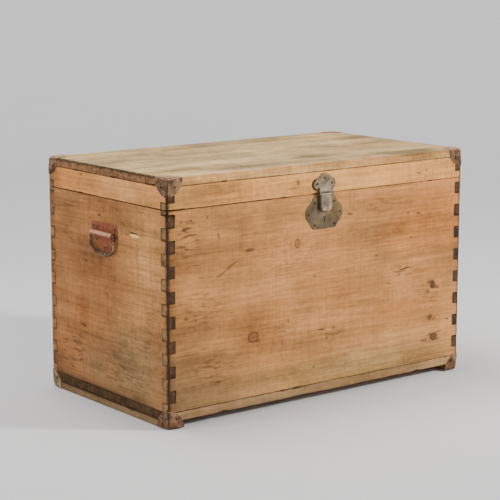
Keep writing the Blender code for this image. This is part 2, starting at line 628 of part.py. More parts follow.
# ---- lid hinges ---------------------------------------------------------------------------
def hinge_leaf(name, x, direction, parent=None, origin=(0, 0, 0)):
    """A leaf with its knuckle and stop lip: direction is +1 on the lid and -1 on the body."""
    inner = HALF_D + GAP
    far_z = SEAM_Z + direction * HINGE_REACH
    near_z = SEAM_Z + direction * (HINGE_KNUCKLE + 0.0005)
    z_low, z_high = sorted((far_z, near_z))
    leaf = box(bmesh.new(), (x - HINGE_HALF_WIDTH, inner, z_low),
               (x + HINGE_HALF_WIDTH, inner + HINGE_LEAF, z_high))
    obj = add_object(name, leaf, "rusty_iron", parent, origin, smooth=True)
    split = HINGE_CENTRE_KNUCKLE
    if direction > 0:
        spans = [(-split, split)]
        lip_span = spans[0]
        lip_start = HINGE_KNUCKLE - 0.0006
    else:
        outer = HINGE_HALF_WIDTH
        spans = [(-outer, -split - GAP), (split + GAP, outer)]
        lip_span = (-outer, outer)
        lip_start = HINGE_KNUCKLE - 0.0003
    for low, high in spans:
        knuckle = rod(bmesh.new(), (x + low, HINGE_AXIS_Y, SEAM_Z),
                      (x + high, HINGE_AXIS_Y, SEAM_Z), HINGE_KNUCKLE, 20)
        boolean(obj, knuckle, "UNION")
        web_z = sorted((SEAM_Z, near_z + direction * 0.001))
        web = box(bmesh.new(), (x + low, inner, web_z[0]),
                  (x + high, inner + HINGE_LEAF, web_z[1]))
        boolean(obj, web, "UNION")
    lip_z = HINGE_STOP_THICKNESS / 2
    lip = box(bmesh.new(), (x + lip_span[0], lip_start, -lip_z),
              (x + lip_span[1], HINGE_STOP_LENGTH, lip_z))
    turn = Matrix.Rotation(direction * HINGE_STOP_ANGLE, 4, "X")
    place = Matrix.Translation((0, HINGE_AXIS_Y, SEAM_Z)) @ turn
    bmesh.ops.transform(lip, matrix=place, verts=lip.verts)
    boolean(obj, lip, "UNION")
    if direction < 0:
        clearance = rod(bmesh.new(), (x - split - GAP, HINGE_AXIS_Y, SEAM_Z),
                        (x + split + GAP, HINGE_AXIS_Y, SEAM_Z), HINGE_KNUCKLE + 0.0006, 20)
        boolean(obj, clearance, "DIFFERENCE")
    bore = rod(bmesh.new(), (x - 0.05, HINGE_AXIS_Y, SEAM_Z), (x + 0.05, HINGE_AXIS_Y, SEAM_Z),
               HINGE_PIN_RADIUS + GAP, 12)
    boolean(obj, bore, "DIFFERENCE")


def make_hinge(side_name, x, lid_pivot):
    hinge_leaf(f"hinge_leaf_body_{side_name}", x, -1)
    hinge_leaf(f"hinge_leaf_lid_{side_name}", x, 1, lid_pivot, lid_pivot.location)
    half = HINGE_HALF_WIDTH + 0.001
    pin = rod(bmesh.new(), (x - half, HINGE_AXIS_Y, SEAM_Z), (x + half, HINGE_AXIS_Y, SEAM_Z),
              HINGE_PIN_RADIUS, 12)
    add_object(f"hinge_pin_{side_name}", pin, "aged_steel",
               origin=(x, HINGE_AXIS_Y, SEAM_Z), smooth=True)


def main():
    clear_scene()
    lid_pivot = add_pivot("lid_pivot", (0, HINGE_AXIS_Y, SEAM_Z))
    make_base()
    make_body()
    make_lid(lid_pivot)
    make_caps(lid_pivot)
    make_lid_plate(lid_pivot)
    make_hasp(lid_pivot)
    make_lock()
    make_lock_bolt()
    for side_name, side in (("left", -1), ("right", 1)):
        make_handle(side_name, side)
    for side_name, x in zip(("left", "right"), HINGE_X):
        make_hinge(side_name, x, lid_pivot)


main()
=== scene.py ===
"""Looks of the wooden chest: worn pine boards with real grain, and rusted iron and steel hardware.

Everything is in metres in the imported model's frame: +X right along the front, the front faces -Y.
"""
import dataclasses
import json
import math

import bmesh
import bpy
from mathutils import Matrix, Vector, noise


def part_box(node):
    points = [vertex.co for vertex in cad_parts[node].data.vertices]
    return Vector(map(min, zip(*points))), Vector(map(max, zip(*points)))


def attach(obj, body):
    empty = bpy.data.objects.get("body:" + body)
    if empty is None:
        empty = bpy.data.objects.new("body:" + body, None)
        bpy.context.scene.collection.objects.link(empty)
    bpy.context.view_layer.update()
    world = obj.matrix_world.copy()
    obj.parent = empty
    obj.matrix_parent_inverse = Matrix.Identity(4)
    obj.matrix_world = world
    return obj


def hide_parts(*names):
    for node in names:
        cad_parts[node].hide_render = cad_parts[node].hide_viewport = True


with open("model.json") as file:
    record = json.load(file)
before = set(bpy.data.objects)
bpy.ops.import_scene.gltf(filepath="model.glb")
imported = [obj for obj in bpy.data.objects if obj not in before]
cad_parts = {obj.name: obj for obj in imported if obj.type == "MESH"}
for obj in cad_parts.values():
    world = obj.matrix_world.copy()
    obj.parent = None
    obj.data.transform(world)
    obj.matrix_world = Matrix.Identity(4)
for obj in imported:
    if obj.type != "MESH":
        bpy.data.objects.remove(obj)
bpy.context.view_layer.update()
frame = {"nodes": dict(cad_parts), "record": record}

# ---- places taken from the frame -----
WOOD_LOW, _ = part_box("base_board_front")
_, WOOD_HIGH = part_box("lid_board_back")
LEFT_X, FRONT_Y = WOOD_LOW.x, WOOD_LOW.y
RIGHT_X, BACK_Y, TOP_Z = WOOD_HIGH.x, WOOD_HIGH.y, WOOD_HIGH.z
SEAM_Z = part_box("front_panel")[1].z
joint_levels = sorted({round(vert.co.z, 4) for vert in frame["nodes"]["left_panel"].data.vertices
                       if vert.co.y < FRONT_Y + 0.002})
FIRST_JOINT, FINGER = joint_levels[1], joint_levels[2] - joint_levels[1]  # finger joints
LOCK_LOW, LOCK_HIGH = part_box("lock_plate")
CORNERS_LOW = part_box("corner_cap_bottom_front_left")[0]
CORNERS_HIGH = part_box("corner_cap_top_back_right")[1]
CORNER_ROUND = 0.008  # radius of the chest's corners
CORNER_REACH = 0.034  # where, along an edge from a corner, the rounding has faded out
CORNER_CUTS = (0.0015, 0.003, 0.0048, 0.0068, 0.009, 0.014, 0.021, 0.03)
BODY_OF = {node: body for body, nodes in frame["record"]["behaviour"]["bodies"].items()
           for node in nodes}
SLOT_OF = {part["node"]: part["material_slot"] for part in frame["record"]["subparts"]}


def middle(node):
    low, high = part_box(node)
    return (low + high) / 2


# ---- node trees ----------------------
class Graph:
    """One material and short calls that add nodes to it."""

    def __init__(self, name):
        self.material = bpy.data.materials.new(name)
        self.material.use_nodes = True
        self.tree = self.material.node_tree
        self.shader = self.tree.nodes["Principled BSDF"]

    def put(self, socket, value):
        if isinstance(value, bpy.types.NodeSocket):
            self.tree.links.new(value, socket)
        elif isinstance(value, tuple) and len(value) == 3 and len(socket.default_value) == 4:
            socket.default_value = (*value, 1.0)
        else:
            socket.default_value = value

    def node(self, kind, inputs, **settings):
        made = self.tree.nodes.new(kind)
        for key, value in settings.items():
            setattr(made, key, value)
        for key, value in inputs.items():
            self.put(made.inputs[key], value)
        return made

    def math(self, operation, a, b=0.0, clamp=False):
        return self.node("ShaderNodeMath", {0: a, 1: b}, operation=operation,
                         use_clamp=clamp).outputs[0]

    def mul(self, a, b, clamp=False):
        return self.math("MULTIPLY", a, b, clamp)

    def add(self, first, *others):
        total = first
        for other in others:
            total = self.math("ADD", total, other)
        return total

    def sub(self, a, b):
        return self.math("SUBTRACT", a, b)

    def larger(self, a, b):
        return self.math("MAXIMUM", a, b)

    def absolute(self, a):
        return self.math("ABSOLUTE", a)

    def vector(self, operation, a, b):
        return self.node("ShaderNodeVectorMath", {0: a, 1: b}, operation=operation).outputs[0]

    def multiply(self, a, b):
        return self.vector("MULTIPLY", a, b)

    def scale(self, vector, factor):
        made = self.node("ShaderNodeVectorMath", {0: vector, "Scale": factor}, operation="SCALE")
        return made.outputs[0]

    def remap(self, value, low, high, new_low=0.0, new_high=1.0):
        """A smooth step from new_low at low to new_high at high."""
        inputs = {0: value, 1: low, 2: high, 3: new_low, 4: new_high}
        return self.node("ShaderNodeMapRange", inputs,
                         interpolation_type="SMOOTHSTEP").outputs[0]

    def noise(self, vector, stretch, detail=2.0, roughness=0.5, distortion=0.0):
        """Noise from 0 to 1, with its cycles per metre, which may differ along each axis."""
        cycles = stretch if isinstance(stretch, tuple) else (stretch,) * 3
        scaled = self.multiply(vector, cycles)
        inputs = {"Vector": scaled, "Scale": 1.0, "Detail": detail, "Roughness": roughness,
                  "Distortion": distortion}
        return self.node("ShaderNodeTexNoise", inputs).outputs[0]

    def mix(self, factor, a, b, kind="RGBA"):
        """A mix of two colours or, where the kind is VECTOR, of two vectors."""
        first, result = (6, 2) if kind == "RGBA" else (4, 1)
        made = self.tree.nodes.new("ShaderNodeMix")
        made.data_type = kind
        self.put(made.inputs[0], factor)
        self.put(made.inputs[first], a)
        self.put(made.inputs[first + 1], b)
        return made.outputs[result]

    def ramp(self, value, stops):
        made = self.node("ShaderNodeValToRGB", {0: value})
        elements = made.color_ramp.elements
        while len(elements) < len(stops):
            elements.new(0.5)
        for element, (position, colour) in zip(elements, stops):
            element.position = position
            element.color = (*colour, 1.0)
        return made.outputs[0]

    def distance(self, vector, centre, size, angle=0.0):
        """How far a point is from the centre, where 1 is the outline of a turned ellipse."""
        offset = self.vector("SUBTRACT", vector, centre)
        if not angle:
            scaled = self.multiply(offset, tuple(1.0 / s for s in size))
            length = self.node("ShaderNodeVectorMath", {0: scaled}, operation="LENGTH")
            return length.outputs["Value"]
        cos, sin = math.cos(math.radians(angle)), math.sin(math.radians(angle))
        rows = ((cos / size[0], sin / size[0], 0.0), (-sin / size[1], cos / size[1], 0.0),
                (0.0, 0.0, 1.0 / size[2]))
        total = 0.0
        for row in rows:
            part = self.node("ShaderNodeVectorMath", {0: offset, 1: row},
                             operation="DOT_PRODUCT").outputs["Value"]
            total = self.node("ShaderNodeMath", {0: part, 1: part, 2: total},
                              operation="MULTIPLY_ADD").outputs[0]
        return self.math("SQRT", total)

    def spot(self, vector, centre, size, angle=0.0, edge=0.35):
        """1 inside an ellipse, falling to 0 at its outline. Edge is where the fall begins."""
        return self.remap(self.distance(vector, centre, size, angle), 1.0, edge)

    def coordinate(self, name):
        return self.node("ShaderNodeTexCoord", {}).outputs[name]

    def split(self, vector):
        return self.node("ShaderNodeSeparateXYZ", {0: vector}).outputs

    def edge_marking(self):
        """How marked a rounded edge is: dirt on wood, wear and painted light on metal."""
        return self.node("ShaderNodeAttribute", {}, attribute_name="edge").outputs["Fac"]

    def finish(self, colour, roughness, height=None, relief=0.0, metallic=0.0, specular=0.5):
        self.put(self.shader.inputs["Base Color"], colour)
        self.put(self.shader.inputs["Roughness"], roughness)
        self.put(self.shader.inputs["Metallic"], metallic)
        self.put(self.shader.inputs["Specular IOR Level"], specular)
        if height is not None:
            bump = self.node("ShaderNodeBump", {"Height": height, "Distance": relief,
                                                "Strength": 1.0})
            self.put(self.shader.inputs["Normal"], bump.outputs[0])
        return self.material


# ---- pine ----------------------------
# middle tone of each kind of board
ORANGE = (0.455, 0.196, 0.058)
RAIL = (0.655, 0.298, 0.082)
SIDE = (0.37, 0.152, 0.046)
SIDE_RAIL = (0.61, 0.246, 0.066)
BLEACHED = (0.5, 0.325, 0.142)
DUSTY = (0.31, 0.178, 0.074)
SKIDS = (0.215, 0.122, 0.052)
DARKEST = (0.44, 0.44, 0.41)  # of the middle tone, where the wood is darkest
PALEST = (1.5, 1.54, 1.7)
WHITE = (1.0, 1.0, 1.0)
# the colour of dark stains, and of the painted shadows beside the hardware and caps
STAIN_AND_SHADOW = (0.03, 0.013, 0.005)
GRIME = (0.036, 0.018, 0.008)
KNOT = (0.07, 0.036, 0.012)

# wood axes: along the grain, across it on the face, and through the board
ALONG_X_UPRIGHT = ("X", "Z", "Y")
ALONG_Y_UPRIGHT = ("Y", "Z", "X")
ALONG_X_FLAT = ("X", "Y", "Z")
ALONG_Y_FLAT = ("Y", "X", "Z")


@dataclasses.dataclass
class Board:
    """What one board's pine looks like. Places on it are (along, across) in metres."""

    axes: tuple  # along the grain, across it, through the board
    tone: tuple  # the middle tone of its wood
    face: float  # the outer face's place through the board
    end_tone: tuple
    pith: tuple  # the tree's heart: (across, behind the face)
    shift: float  # where this board lies in the noise
    rings: float = 150.0  # growth rings per metre
    tilt: float = 0.02  # how far the rings run off the grain
    knots: tuple = ()  # (along, across, radius, stretch, darkness, fill)
    marks: tuple = ()  # (along, across, half length, half width, angle, strength)
    # shades tone the board over wide areas: partly the wood's own tone, partly painted light and
    # shade
    shades: tuple = ()  # (along, across, half length, half width, multiplier)
    scuffs: tuple = ()  # (along, across, half length, half width, strength)
    lines: tuple = ()  # straight dark lines, like the scuffs: dirt, and painted shade in the lid's seam
    paints: tuple = ()  # (along, across, half length, half width, colour)
    saw: float = 0.5  # how clear the saw's cuts are
    greyed: float = 0.5  # how much of it has lost its orange
    rough: float = 0.6
    contrast: float = 1.0  # of the blotches, bands and streaks
    half: float = 1.0  # half its length, where its corners gather dirt
    through_joint: float = 0.0  # how deep the end grain of its fingers goes


def wood_place(g, board):
    """The point in wood axes, the same in this board's own noise, and three wavy copies."""
    split = g.split(g.coordinate("Object"))
    along, across, through = [split[axis] for axis in board.axes]
    inputs = {0: along, 1: across, 2: through}
    place = g.node("ShaderNodeCombineXYZ", inputs).outputs[0]
    moved = g.vector("ADD", place, (board.shift, board.shift * 0.7, board.shift * 0.3))
    ripple = g.sub(g.noise(moved, (90, 160, 60), 3.0, 0.65), 0.5)
    swirl = g.sub(g.noise(moved, (45, 45, 35), 2.0), 0.5)
    waves = g.node("ShaderNodeCombineXYZ",
                   {0: g.mul(swirl, 0.014), 1: g.mul(ripple, 0.007), 2: 0.0})
    wavy = g.vector("ADD", place, waves.outputs[0])
    calm = g.vector("ADD", place, g.scale(waves.outputs[0], 0.35))
    uneven = g.vector("ADD", place, g.scale(waves.outputs[0], 0.7))
    return along, across, through, place, moved, wavy, calm, uneven


def pine(name, board):
    g = Graph(name)
    along, across, through, place, moved, wavy, calm, uneven = wood_place(g, board)

    # growth rings round the heart, bent by slow waves and by the knots
    bend = g.sub(g.noise(moved, (1.6, 5.0, 5.0), 2.0), 0.5)
    small_bend = g.sub(g.noise(moved, (9.0, 30.0, 20.0), 2.0), 0.5)
    side = g.add(g.sub(across, board.pith[0]), g.mul(along, board.tilt), g.mul(bend, 0.07),
                 g.mul(small_bend, 0.01))
    depth = g.add(g.absolute(g.sub(through, board.face)), board.pith[1])
    radius = g.math("SQRT", g.add(g.math("POWER", side, 2.0), g.math("POWER", depth, 2.0)))
    knot_dark = 0.0
    knot_halo = 0.0
    for k_along, k_across, size, stretch, darkness, fill in board.knots:
        centre = (k_along, k_across, board.face)
        halo = g.spot(wavy, centre, (size * stretch * 3.0, size * 2.6, 0.03), 0.0, 0.0)
        radius = g.add(radius, g.mul(halo, size * 1.1))
        away = g.distance(uneven, centre, (size * stretch, size, 0.012))
        core = g.remap(away, 1.0, 0.8)
        rim = g.remap(away, 0.45, 0.75, fill, 1.0)
        heart = g.spot(uneven, centre, (size * 0.18, size * 0.5, 0.012), 0.0, 0.4)
        ringed = g.mul(core, g.larger(rim, heart))
        knot_dark = g.larger(knot_dark, g.mul(ringed, darkness))
        knot_halo = g.larger(knot_halo, g.mul(halo, 0.5 * darkness))
    year_phase = g.math("FRACT", g.mul(radius, board.rings))
    late_wood = g.mul(g.remap(year_phase, 0.25, 0.86), g.remap(year_phase, 1.0, 0.93))
    ring_patch = g.remap(g.noise(moved, (3.0, 9.0, 5.0), 2.0), 0.4, 0.66)
    late_wood = g.mul(late_wood, ring_patch)

    # fibres, streaks, blotches and saw cuts
    fibre = g.noise(moved, (18, 330, 330), 4.0, 0.72, 0.4)
    streak = g.noise(moved, (4.0, 150, 60), 4.0, 0.7)
    band = g.noise(moved, (1.5, 17, 12), 3.0, 0.55)
    blotch = g.noise(moved, (7.0, 9.0, 9.0), 6.0, 0.6)
    mottle = g.noise(moved, (90.0, 110.0, 60.0), 3.0, 0.7)
    saw_cut = g.noise(moved, (150, 9.0, 8), 4.0, 0.85, 0.5)
    saw_patch = g.remap(g.noise(moved, (5, 6, 4), 2.0), 0.32, 0.6, 0.25, 1.0)
    body = g.mul(g.sub(blotch, 0.5), 0.95 * board.contrast)
    for layer, weight in ((band, 0.8), (streak, 0.6), (mottle, 0.4)):
        body = g.add(body, g.mul(g.sub(layer, 0.5), weight * board.contrast))
    tone = g.add(body, 0.5)
    darkest = tuple(a * b for a, b in zip(board.tone, DARKEST))
    palest = tuple(a * b for a, b in zip(board.tone, PALEST))
    colour = g.ramp(tone, ((0.15, darkest), (0.5, board.tone), (0.85, palest)))
    faded = g.remap(g.noise(moved, (3.5, 8.0, 5.0), 4.0, 0.6), 0.45, 0.7)
    greyer = g.multiply(colour, (0.92, 1.02, 1.16))
    colour = g.mix(g.mul(faded, board.greyed), colour, greyer)

    cuts = g.mul(g.sub(saw_cut, 0.5), g.mul(saw_patch, 1.5 * board.saw))
    grain = g.add(g.mul(late_wood, 0.1), g.mul(g.sub(fibre, 0.5), 0.95), cuts)
    colour = g.scale(colour, g.sub(1.02, grain))

    def area(vector, row, depth, angle=0.0, edge=0.35):
        """The ellipse on the board's face that a table's row tells of."""
        row_along, row_across, *halves = row
        return g.spot(vector, (row_along, row_across, board.face), (*halves, depth), angle, edge)

    shade = WHITE
    for *row, multiplier in board.shades:
        mask = area(wavy, row, 0.04, edge=0.0)
        shade = g.multiply(shade, g.mix(mask, WHITE, multiplier, "VECTOR"))
    colour = g.multiply(colour, shade)

    # dark dashes all over, denser where the board was scuffed, then the marks that it has:
    # stains, and painted shadows beside the hardware and caps and in the lid's seam
    dash_noise = g.noise(moved, (42, 180, 90), 4.0, 0.66)
    sparse = g.remap(g.noise(moved, (9, 14, 9), 2.0), 0.5, 0.62)
    dark = g.mul(g.mul(g.remap(dash_noise, 0.64, 0.72), sparse), 0.5)
    worm = g.remap(dash_noise, 0.5, 0.6)
    for *row, strength in board.scuffs:
        mask = area(wavy, row, 0.04, edge=0.3)
        dark = g.larger(dark, g.mul(g.mul(mask, worm), strength))
    for *row, angle, strength in board.marks:
        mask = area(calm, row, 0.01, angle)
        dark = g.larger(dark, g.mul(mask, strength))
    for *row, strength in board.lines:
        mask = area(place, row, 0.04, edge=0.2)
        dark = g.larger(dark, g.mul(mask, strength))
    pale = g.mul(g.remap(dash_noise, 0.36, 0.28), 0.45)
    colour = g.mix(pale, colour, g.multiply(colour, (1.35, 1.42, 1.5)))
    colour = g.mix(knot_halo, colour, g.multiply(colour, (0.58, 0.56, 0.5)))
    colour = g.mix(knot_dark, colour, KNOT)
    colour = g.mix(dark, colour, STAIN_AND_SHADOW)
    for *row, paint in board.paints:
        mask = area(calm, row, 0.01, edge=0.8)
        colour = g.mix(mask, colour, paint)

    # end grain where the face looks along the grain
    facing = g.split(g.coordinate("Normal"))[board.axes[0]]
    end_mask = g.remap(g.absolute(facing), 0.62, 0.86)
    pores = g.noise(moved, (500, 900, 900), 3.0, 0.7)
    dirt = g.noise(moved, (70, 62, 62), 4.0, 0.68)
    end_value = g.add(g.mul(late_wood, -0.3), g.add(g.mul(dirt, 3.4), -0.7),
                      g.mul(g.sub(pores, 0.5), 1.3))
    end_value = g.larger(end_value, 0.1)
    ends = g.scale(g.mix(blotch, tuple(1.25 * c for c in board.end_tone),
                         tuple(0.75 * c for c in board.end_tone)), end_value)
    colour = g.mix(end_mask, colour, ends)

    # grime gathers along the upright corners, on the face and on the end grain beside it
    half_away = g.sub(board.half, g.absolute(along))
    ragged = g.mul(g.sub(dirt, 0.5), 0.012)
    on_face = g.mul(g.remap(g.add(half_away, ragged), 0.0075, 0.003), g.sub(1.0, end_mask))
    behind_face = g.absolute(g.sub(through, board.face))
    on_end = g.mul(g.remap(g.add(behind_face, ragged), 0.0065, 0.002), end_mask)
    corner = g.mul(g.larger(on_face, on_end), g.remap(dirt, 0.34, 0.56, 0.55, 1.0))
    colour = g.mix(corner, colour, GRIME)
    if board.through_joint:
        phase = g.math("FRACT", g.mul(g.sub(across, FIRST_JOINT), 1.0 / FINGER))
        from_joint = g.sub(0.5, g.absolute(g.sub(phase, 0.5)))
        from_joint = g.mul(from_joint, FINGER)
        from_inside = g.sub(board.through_joint, behind_face)
        near = g.add(g.math("MINIMUM", from_joint, from_inside), g.mul(ragged, 0.6))
        joint = g.mul(g.remap(near, 0.0036, 0.0008), end_mask)
        joint = g.mul(joint, g.remap(dirt, 0.4, 0.58, 0.25, 0.95))
        colour = g.mix(joint, colour, GRIME)

    # dirt in the rounded edges, where the mesh says so
    edge = g.edge_marking()
    edge = g.mul(edge, g.remap(dirt, 0.3, 0.55, 0.45, 1.0), clamp=True)
    colour = g.mix(edge, colour, GRIME)

    height = g.add(g.mul(late_wood, 0.2), g.mul(fibre, 0.4), g.mul(streak, 0.3),
                   g.mul(g.mul(saw_cut, saw_patch), 0.45 * board.saw))
    height = g.sub(height, g.mul(dark, 0.9))
    height = g.sub(height, g.mul(g.mul(end_mask, pores), 0.8))
    rough = g.add(g.mul(blotch, 0.16), board.rough)
    return g.finish(colour, rough, height, 0.0007, specular=0.18)


# ---- metal ---------------------------
def iron(name, steel, rust, dark, rusted, metallic, rough=(0.42, 0.8), relief=0.0003,
         dust=None, rim=None, spots=(), fold=None, wear_and_light_spots=()):
    """Old sheet iron: steel showing between patches of rust, pits and dark dirt.

    Dust settles on faces that look up. Rim is the colour of the rounded edges that face up,
    worn metal with a painted highlight; edges that face down take the dark colour as painted
    shade. Fold is where a bent sheet's dark upright folds are, and each of the
    wear_and_light_spots has its own colour: wear and patina, painted shadow and highlight.
    """
    g = Graph(name)
    place = g.coordinate("Object")
    patches = g.noise(place, 70, 5.0, 0.62, 0.4)
    bloom = g.noise(place, 320, 4.0, 0.65)
    rust_mask = g.remap(g.add(patches, g.mul(bloom, 0.35)), 0.86 - 0.5 * rusted,
                        1.02 - 0.5 * rusted)
    cloud = g.noise(place, 34, 4.0, 0.6)
    bare = g.mix(g.remap(cloud, 0.38, 0.62), tuple(0.52 * c for c in steel),
                 tuple(1.42 * c for c in steel))
    rusty = g.mix(g.remap(bloom, 0.35, 0.65), rust, tuple(0.45 * c for c in rust))
    colour = g.mix(rust_mask, bare, rusty)
    for centre, size, paint, strength in wear_and_light_spots:
        mask = g.spot(place, centre, size, 0.0, 0.3)
        mask = g.mul(mask, g.remap(patches, 0.3, 0.5, 0.6, 1.0))
        colour = g.mix(g.mul(mask, strength), colour, paint)
    pits = g.remap(g.noise(place, 700, 2.0, 0.5), 0.6, 0.68)
    grime = g.remap(g.noise(place, 55, 4.0, 0.7), 0.5, 0.66)
    stain = g.larger(g.mul(pits, 0.6), g.mul(grime, 0.65))
    colour = g.mix(stain, colour, dark)
    for centre, size, strength in spots:
        mask = g.spot(place, centre, (size, size, size), 0.0, 0.7)
        colour = g.mix(g.mul(mask, strength), colour, dark)
    if fold is not None:
        split = g.split(place)
        from_x = g.sub(fold[0], g.absolute(split["X"]))
        from_y = g.sub(fold[1], g.absolute(split["Y"]))
        folded = g.remap(g.larger(from_x, from_y), 0.005, 0.0015)
        folded = g.mul(folded, g.remap(patches, 0.3, 0.55, 0.55, 0.95))
        colour = g.mix(folded, colour, dark)
    roughness = g.remap(rust_mask, 0.0, 1.0, *rough)
    if dust is not None:
        upward = g.split(g.coordinate("Normal"))["Z"]
        settled = g.mul(g.remap(upward, 0.45, 0.95), g.remap(cloud, 0.3, 0.55, 0.55, 0.95))
        colour = g.mix(settled, colour, dust)
        roughness = g.larger(roughness, settled)
    # edges that face up get the rim colour, worn metal with a painted highlight; edges that face
    # down get the dark colour as painted shade
    if rim is not None:
        edge = g.edge_marking()
        edge = g.mul(edge, g.remap(patches, 0.38, 0.58, 0.35, 1.0), clamp=True)
        upward = g.split(g.coordinate("Normal"))["Z"]
        colour = g.mix(edge, colour, g.mix(g.remap(upward, -0.25, 0.35), dark, rim))
    metal = g.mul(g.sub(1.0, g.mul(rust_mask, 0.85)), metallic)
    height = g.add(g.mul(bloom, 0.55), g.mul(patches, 0.45))
    height = g.sub(height, g.mul(pits, 0.35))
    return g.finish(colour, roughness, height, relief, metal, specular=0.35)


# ---- meshes --------------------------
def cad_mesh(node):
    """A welded copy of a CAD node's mesh, with its flat faces whole."""
    bm = bmesh.new()
    bm.from_mesh(frame["nodes"][node].data)
    bmesh.ops.remove_doubles(bm, verts=bm.verts, dist=1e-6)
    bmesh.ops.dissolve_limit(bm, angle_limit=math.radians(0.5), verts=bm.verts, edges=bm.edges)
    return bm


def linked(name, data):
    obj = bpy.data.objects.new(name, data)
    bpy.context.scene.collection.objects.link(obj)
    return obj


def mesh_object(bm, name, material=None):
    mesh = bpy.data.meshes.new(name)
    bm.to_mesh(mesh)
    bm.free()
    if material:
        mesh.materials.append(material)
    return linked(name, mesh)


def place_piece(bm, name, body, material):
    obj = mesh_object(bm, name, material)
    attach(obj, body)
    return obj


def join_rings(bm, lower, upper):
    sides = len(lower)
    for side in range(sides):
        following = (side + 1) % sides
        bm.faces.new((lower[side], lower[following], upper[following], upper[side]))


def sharp_edges(bm, angle):
    limit = math.radians(angle)
    return [e for e in bm.edges if len(e.link_faces) == 2 and e.calc_face_angle(0.0) > limit]


def worn(node, material, width, wear, edge_of, step=0.007, angle=28, cutters=()):
    """Stand in for a CAD node with a copy whose edges are rounded and worn back unevenly.

    edge_of gives how marked a rounded edge is at a point: dirt on wood, wear and painted light on
    metal. The material reads it as "edge".
    """
    bm = cad_mesh(node)
    for edge in sharp_edges(bm, angle):
        cuts = int(edge.calc_length() / step)
        if cuts:
            bmesh.ops.subdivide_edges(bm, edges=[edge], cuts=cuts)
    made = bmesh.ops.bevel(bm, geom=sharp_edges(bm, angle), offset=width, segments=2,
                           profile=0.5, affect="EDGES", clamp_overlap=True)
    strips = set(made["faces"])
    bm.normal_update()
    moves = {}
    for vert in {v for face in strips for v in face.verts}:
        strip_normals = [f.normal for f in vert.link_faces if f in strips]
        direction = sum(strip_normals, Vector())
        for face in vert.link_faces:
            if face not in strips:
                direction -= face.normal * direction.dot(face.normal)
        if direction.length > 1e-4:
            moves[vert] = direction.normalized() * wear(vert.co)
    for vert, move in moves.items():
        vert.co -= move
    layer = bm.loops.layers.float.new("edge")
    for face in bm.faces:
        face.smooth = True
        for loop in face.loops:
            loop[layer] = edge_of(loop.vert.co) if face in strips else 0.0
    round_corners(bm)
    obj = place_piece(bm, f"{node}_worn", BODY_OF[node], material)
    carve(obj, cutters)
    shading = obj.modifiers.new("flat_faces_stay_flat", "WEIGHTED_NORMAL")
    shading.keep_sharp = True
    shading.weight = 80
    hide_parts(node)
    return obj


def corner_gaps(point):
    """How far a point is inside the three outer planes that meet at its nearest corner."""
    return [min(c - low, high - c) for c, low, high in zip(point, CORNERS_LOW, CORNERS_HIGH)]


def rounded(point):
    """Where a point goes when the nearest of the chest's corners is rounded off."""
    gaps = corner_gaps(point)
    along = min(1.0, max(0.0, (max(gaps) - CORNER_ROUND) / (CORNER_REACH - CORNER_ROUND)))
    radius = CORNER_ROUND * (1.0 - along * along * (3.0 - 2.0 * along))
    depths = Vector([max(0.0, radius - gap) for gap in gaps])
    if depths.length < 1e-6:
        return point
    depths *= max(depths) / depths.length
    moved = point.copy()
    for axis, (gap, depth) in enumerate(zip(gaps, depths)):
        if gap < radius:
            inward = 1.0 if point[axis] < 0.5 * (CORNERS_LOW[axis] + CORNERS_HIGH[axis]) else -1.0
            moved[axis] += inward * (radius - depth - gap)
    return moved


def round_corners(bm):
    """Cut the faces near the chest's corners finely, then round the corners off."""
    near = [v.co.copy() for v in bm.verts if max(corner_gaps(v.co)) < CORNER_REACH]
    for axis in range(3):
        for plane, inward in ((CORNERS_LOW[axis], 1.0), (CORNERS_HIGH[axis], -1.0)):
            if not any(abs(co[axis] - plane) < CORNER_ROUND for co in near):
                continue
            normal = Vector((0.0, 0.0, 0.0))
            normal[axis] = 1.0
            for cut in CORNER_CUTS:
                place = normal * (plane + inward * cut)
                geom = bm.verts[:] + bm.edges[:] + bm.faces[:]
                bmesh.ops.bisect_plane(bm, geom=geom, dist=1e-6, plane_co=place,
                                       plane_no=normal)
    if near:
        for vert in bm.verts:
            vert.co = rounded(vert.co)


def carve(obj, cutters):
    """Cut shallow hollows, each given as a mesh, out of a finished piece."""
    for index, bm in enumerate(cutters):
        cutter = mesh_object(bm, f"{obj.name}_cutter_{index}")
        cut = obj.modifiers.new("cut", "BOOLEAN")
        cut.operation = "DIFFERENCE"
        cut.solver = "EXACT"
        cut.object = cutter
        bpy.context.view_layer.update()
        result = bpy.data.meshes.new_from_object(
            obj.evaluated_get(bpy.context.evaluated_depsgraph_get()))
        obj.modifiers.remove(cut)
        obj.data = result
        bpy.data.objects.remove(cutter)


TOP_EDGE = 0.004  # how far below the top an edge still counts as a top edge


def board_wear(amount, chip):
    """How far a board's edge is worn back at a point, more where a chip is missing."""
    def wear(point):
        slow = noise.noise(point * 9.0)
        fast = noise.noise(point * 70.0 + Vector((3.0, 7.0, 1.0)))
        bite = noise.noise(point * 38.0 + Vector((11.0, 2.0, 5.0)))
        lost = amount * max(0.0, 0.55 + 0.9 * slow + 0.5 * fast)
        return lost + chip * max(0.0, bite - 0.32) * 2.2
    return wear


def sheet_wear(amount):
    def wear(point):
        return amount * (0.5 + 0.5 * noise.noise(point * 160.0))
    return wear


def edge_marking(strength, top_strength=None):
    """Edge marks: dirt on wood, wear and painted light on metal; the very top may hold less."""
    def dirt(point):
        if top_strength is not None and point.z > TOP_Z - TOP_EDGE:
            return top_strength
        return strength
    return dirt


# ---- the boards ----------------------
def in_metres(rows, lengths=4):
    """Rows of a table whose first few numbers are in millimetres, with those in metres."""
    return tuple((*(value / 1000 for value in row[:lengths]), *row[lengths:]) for row in rows)


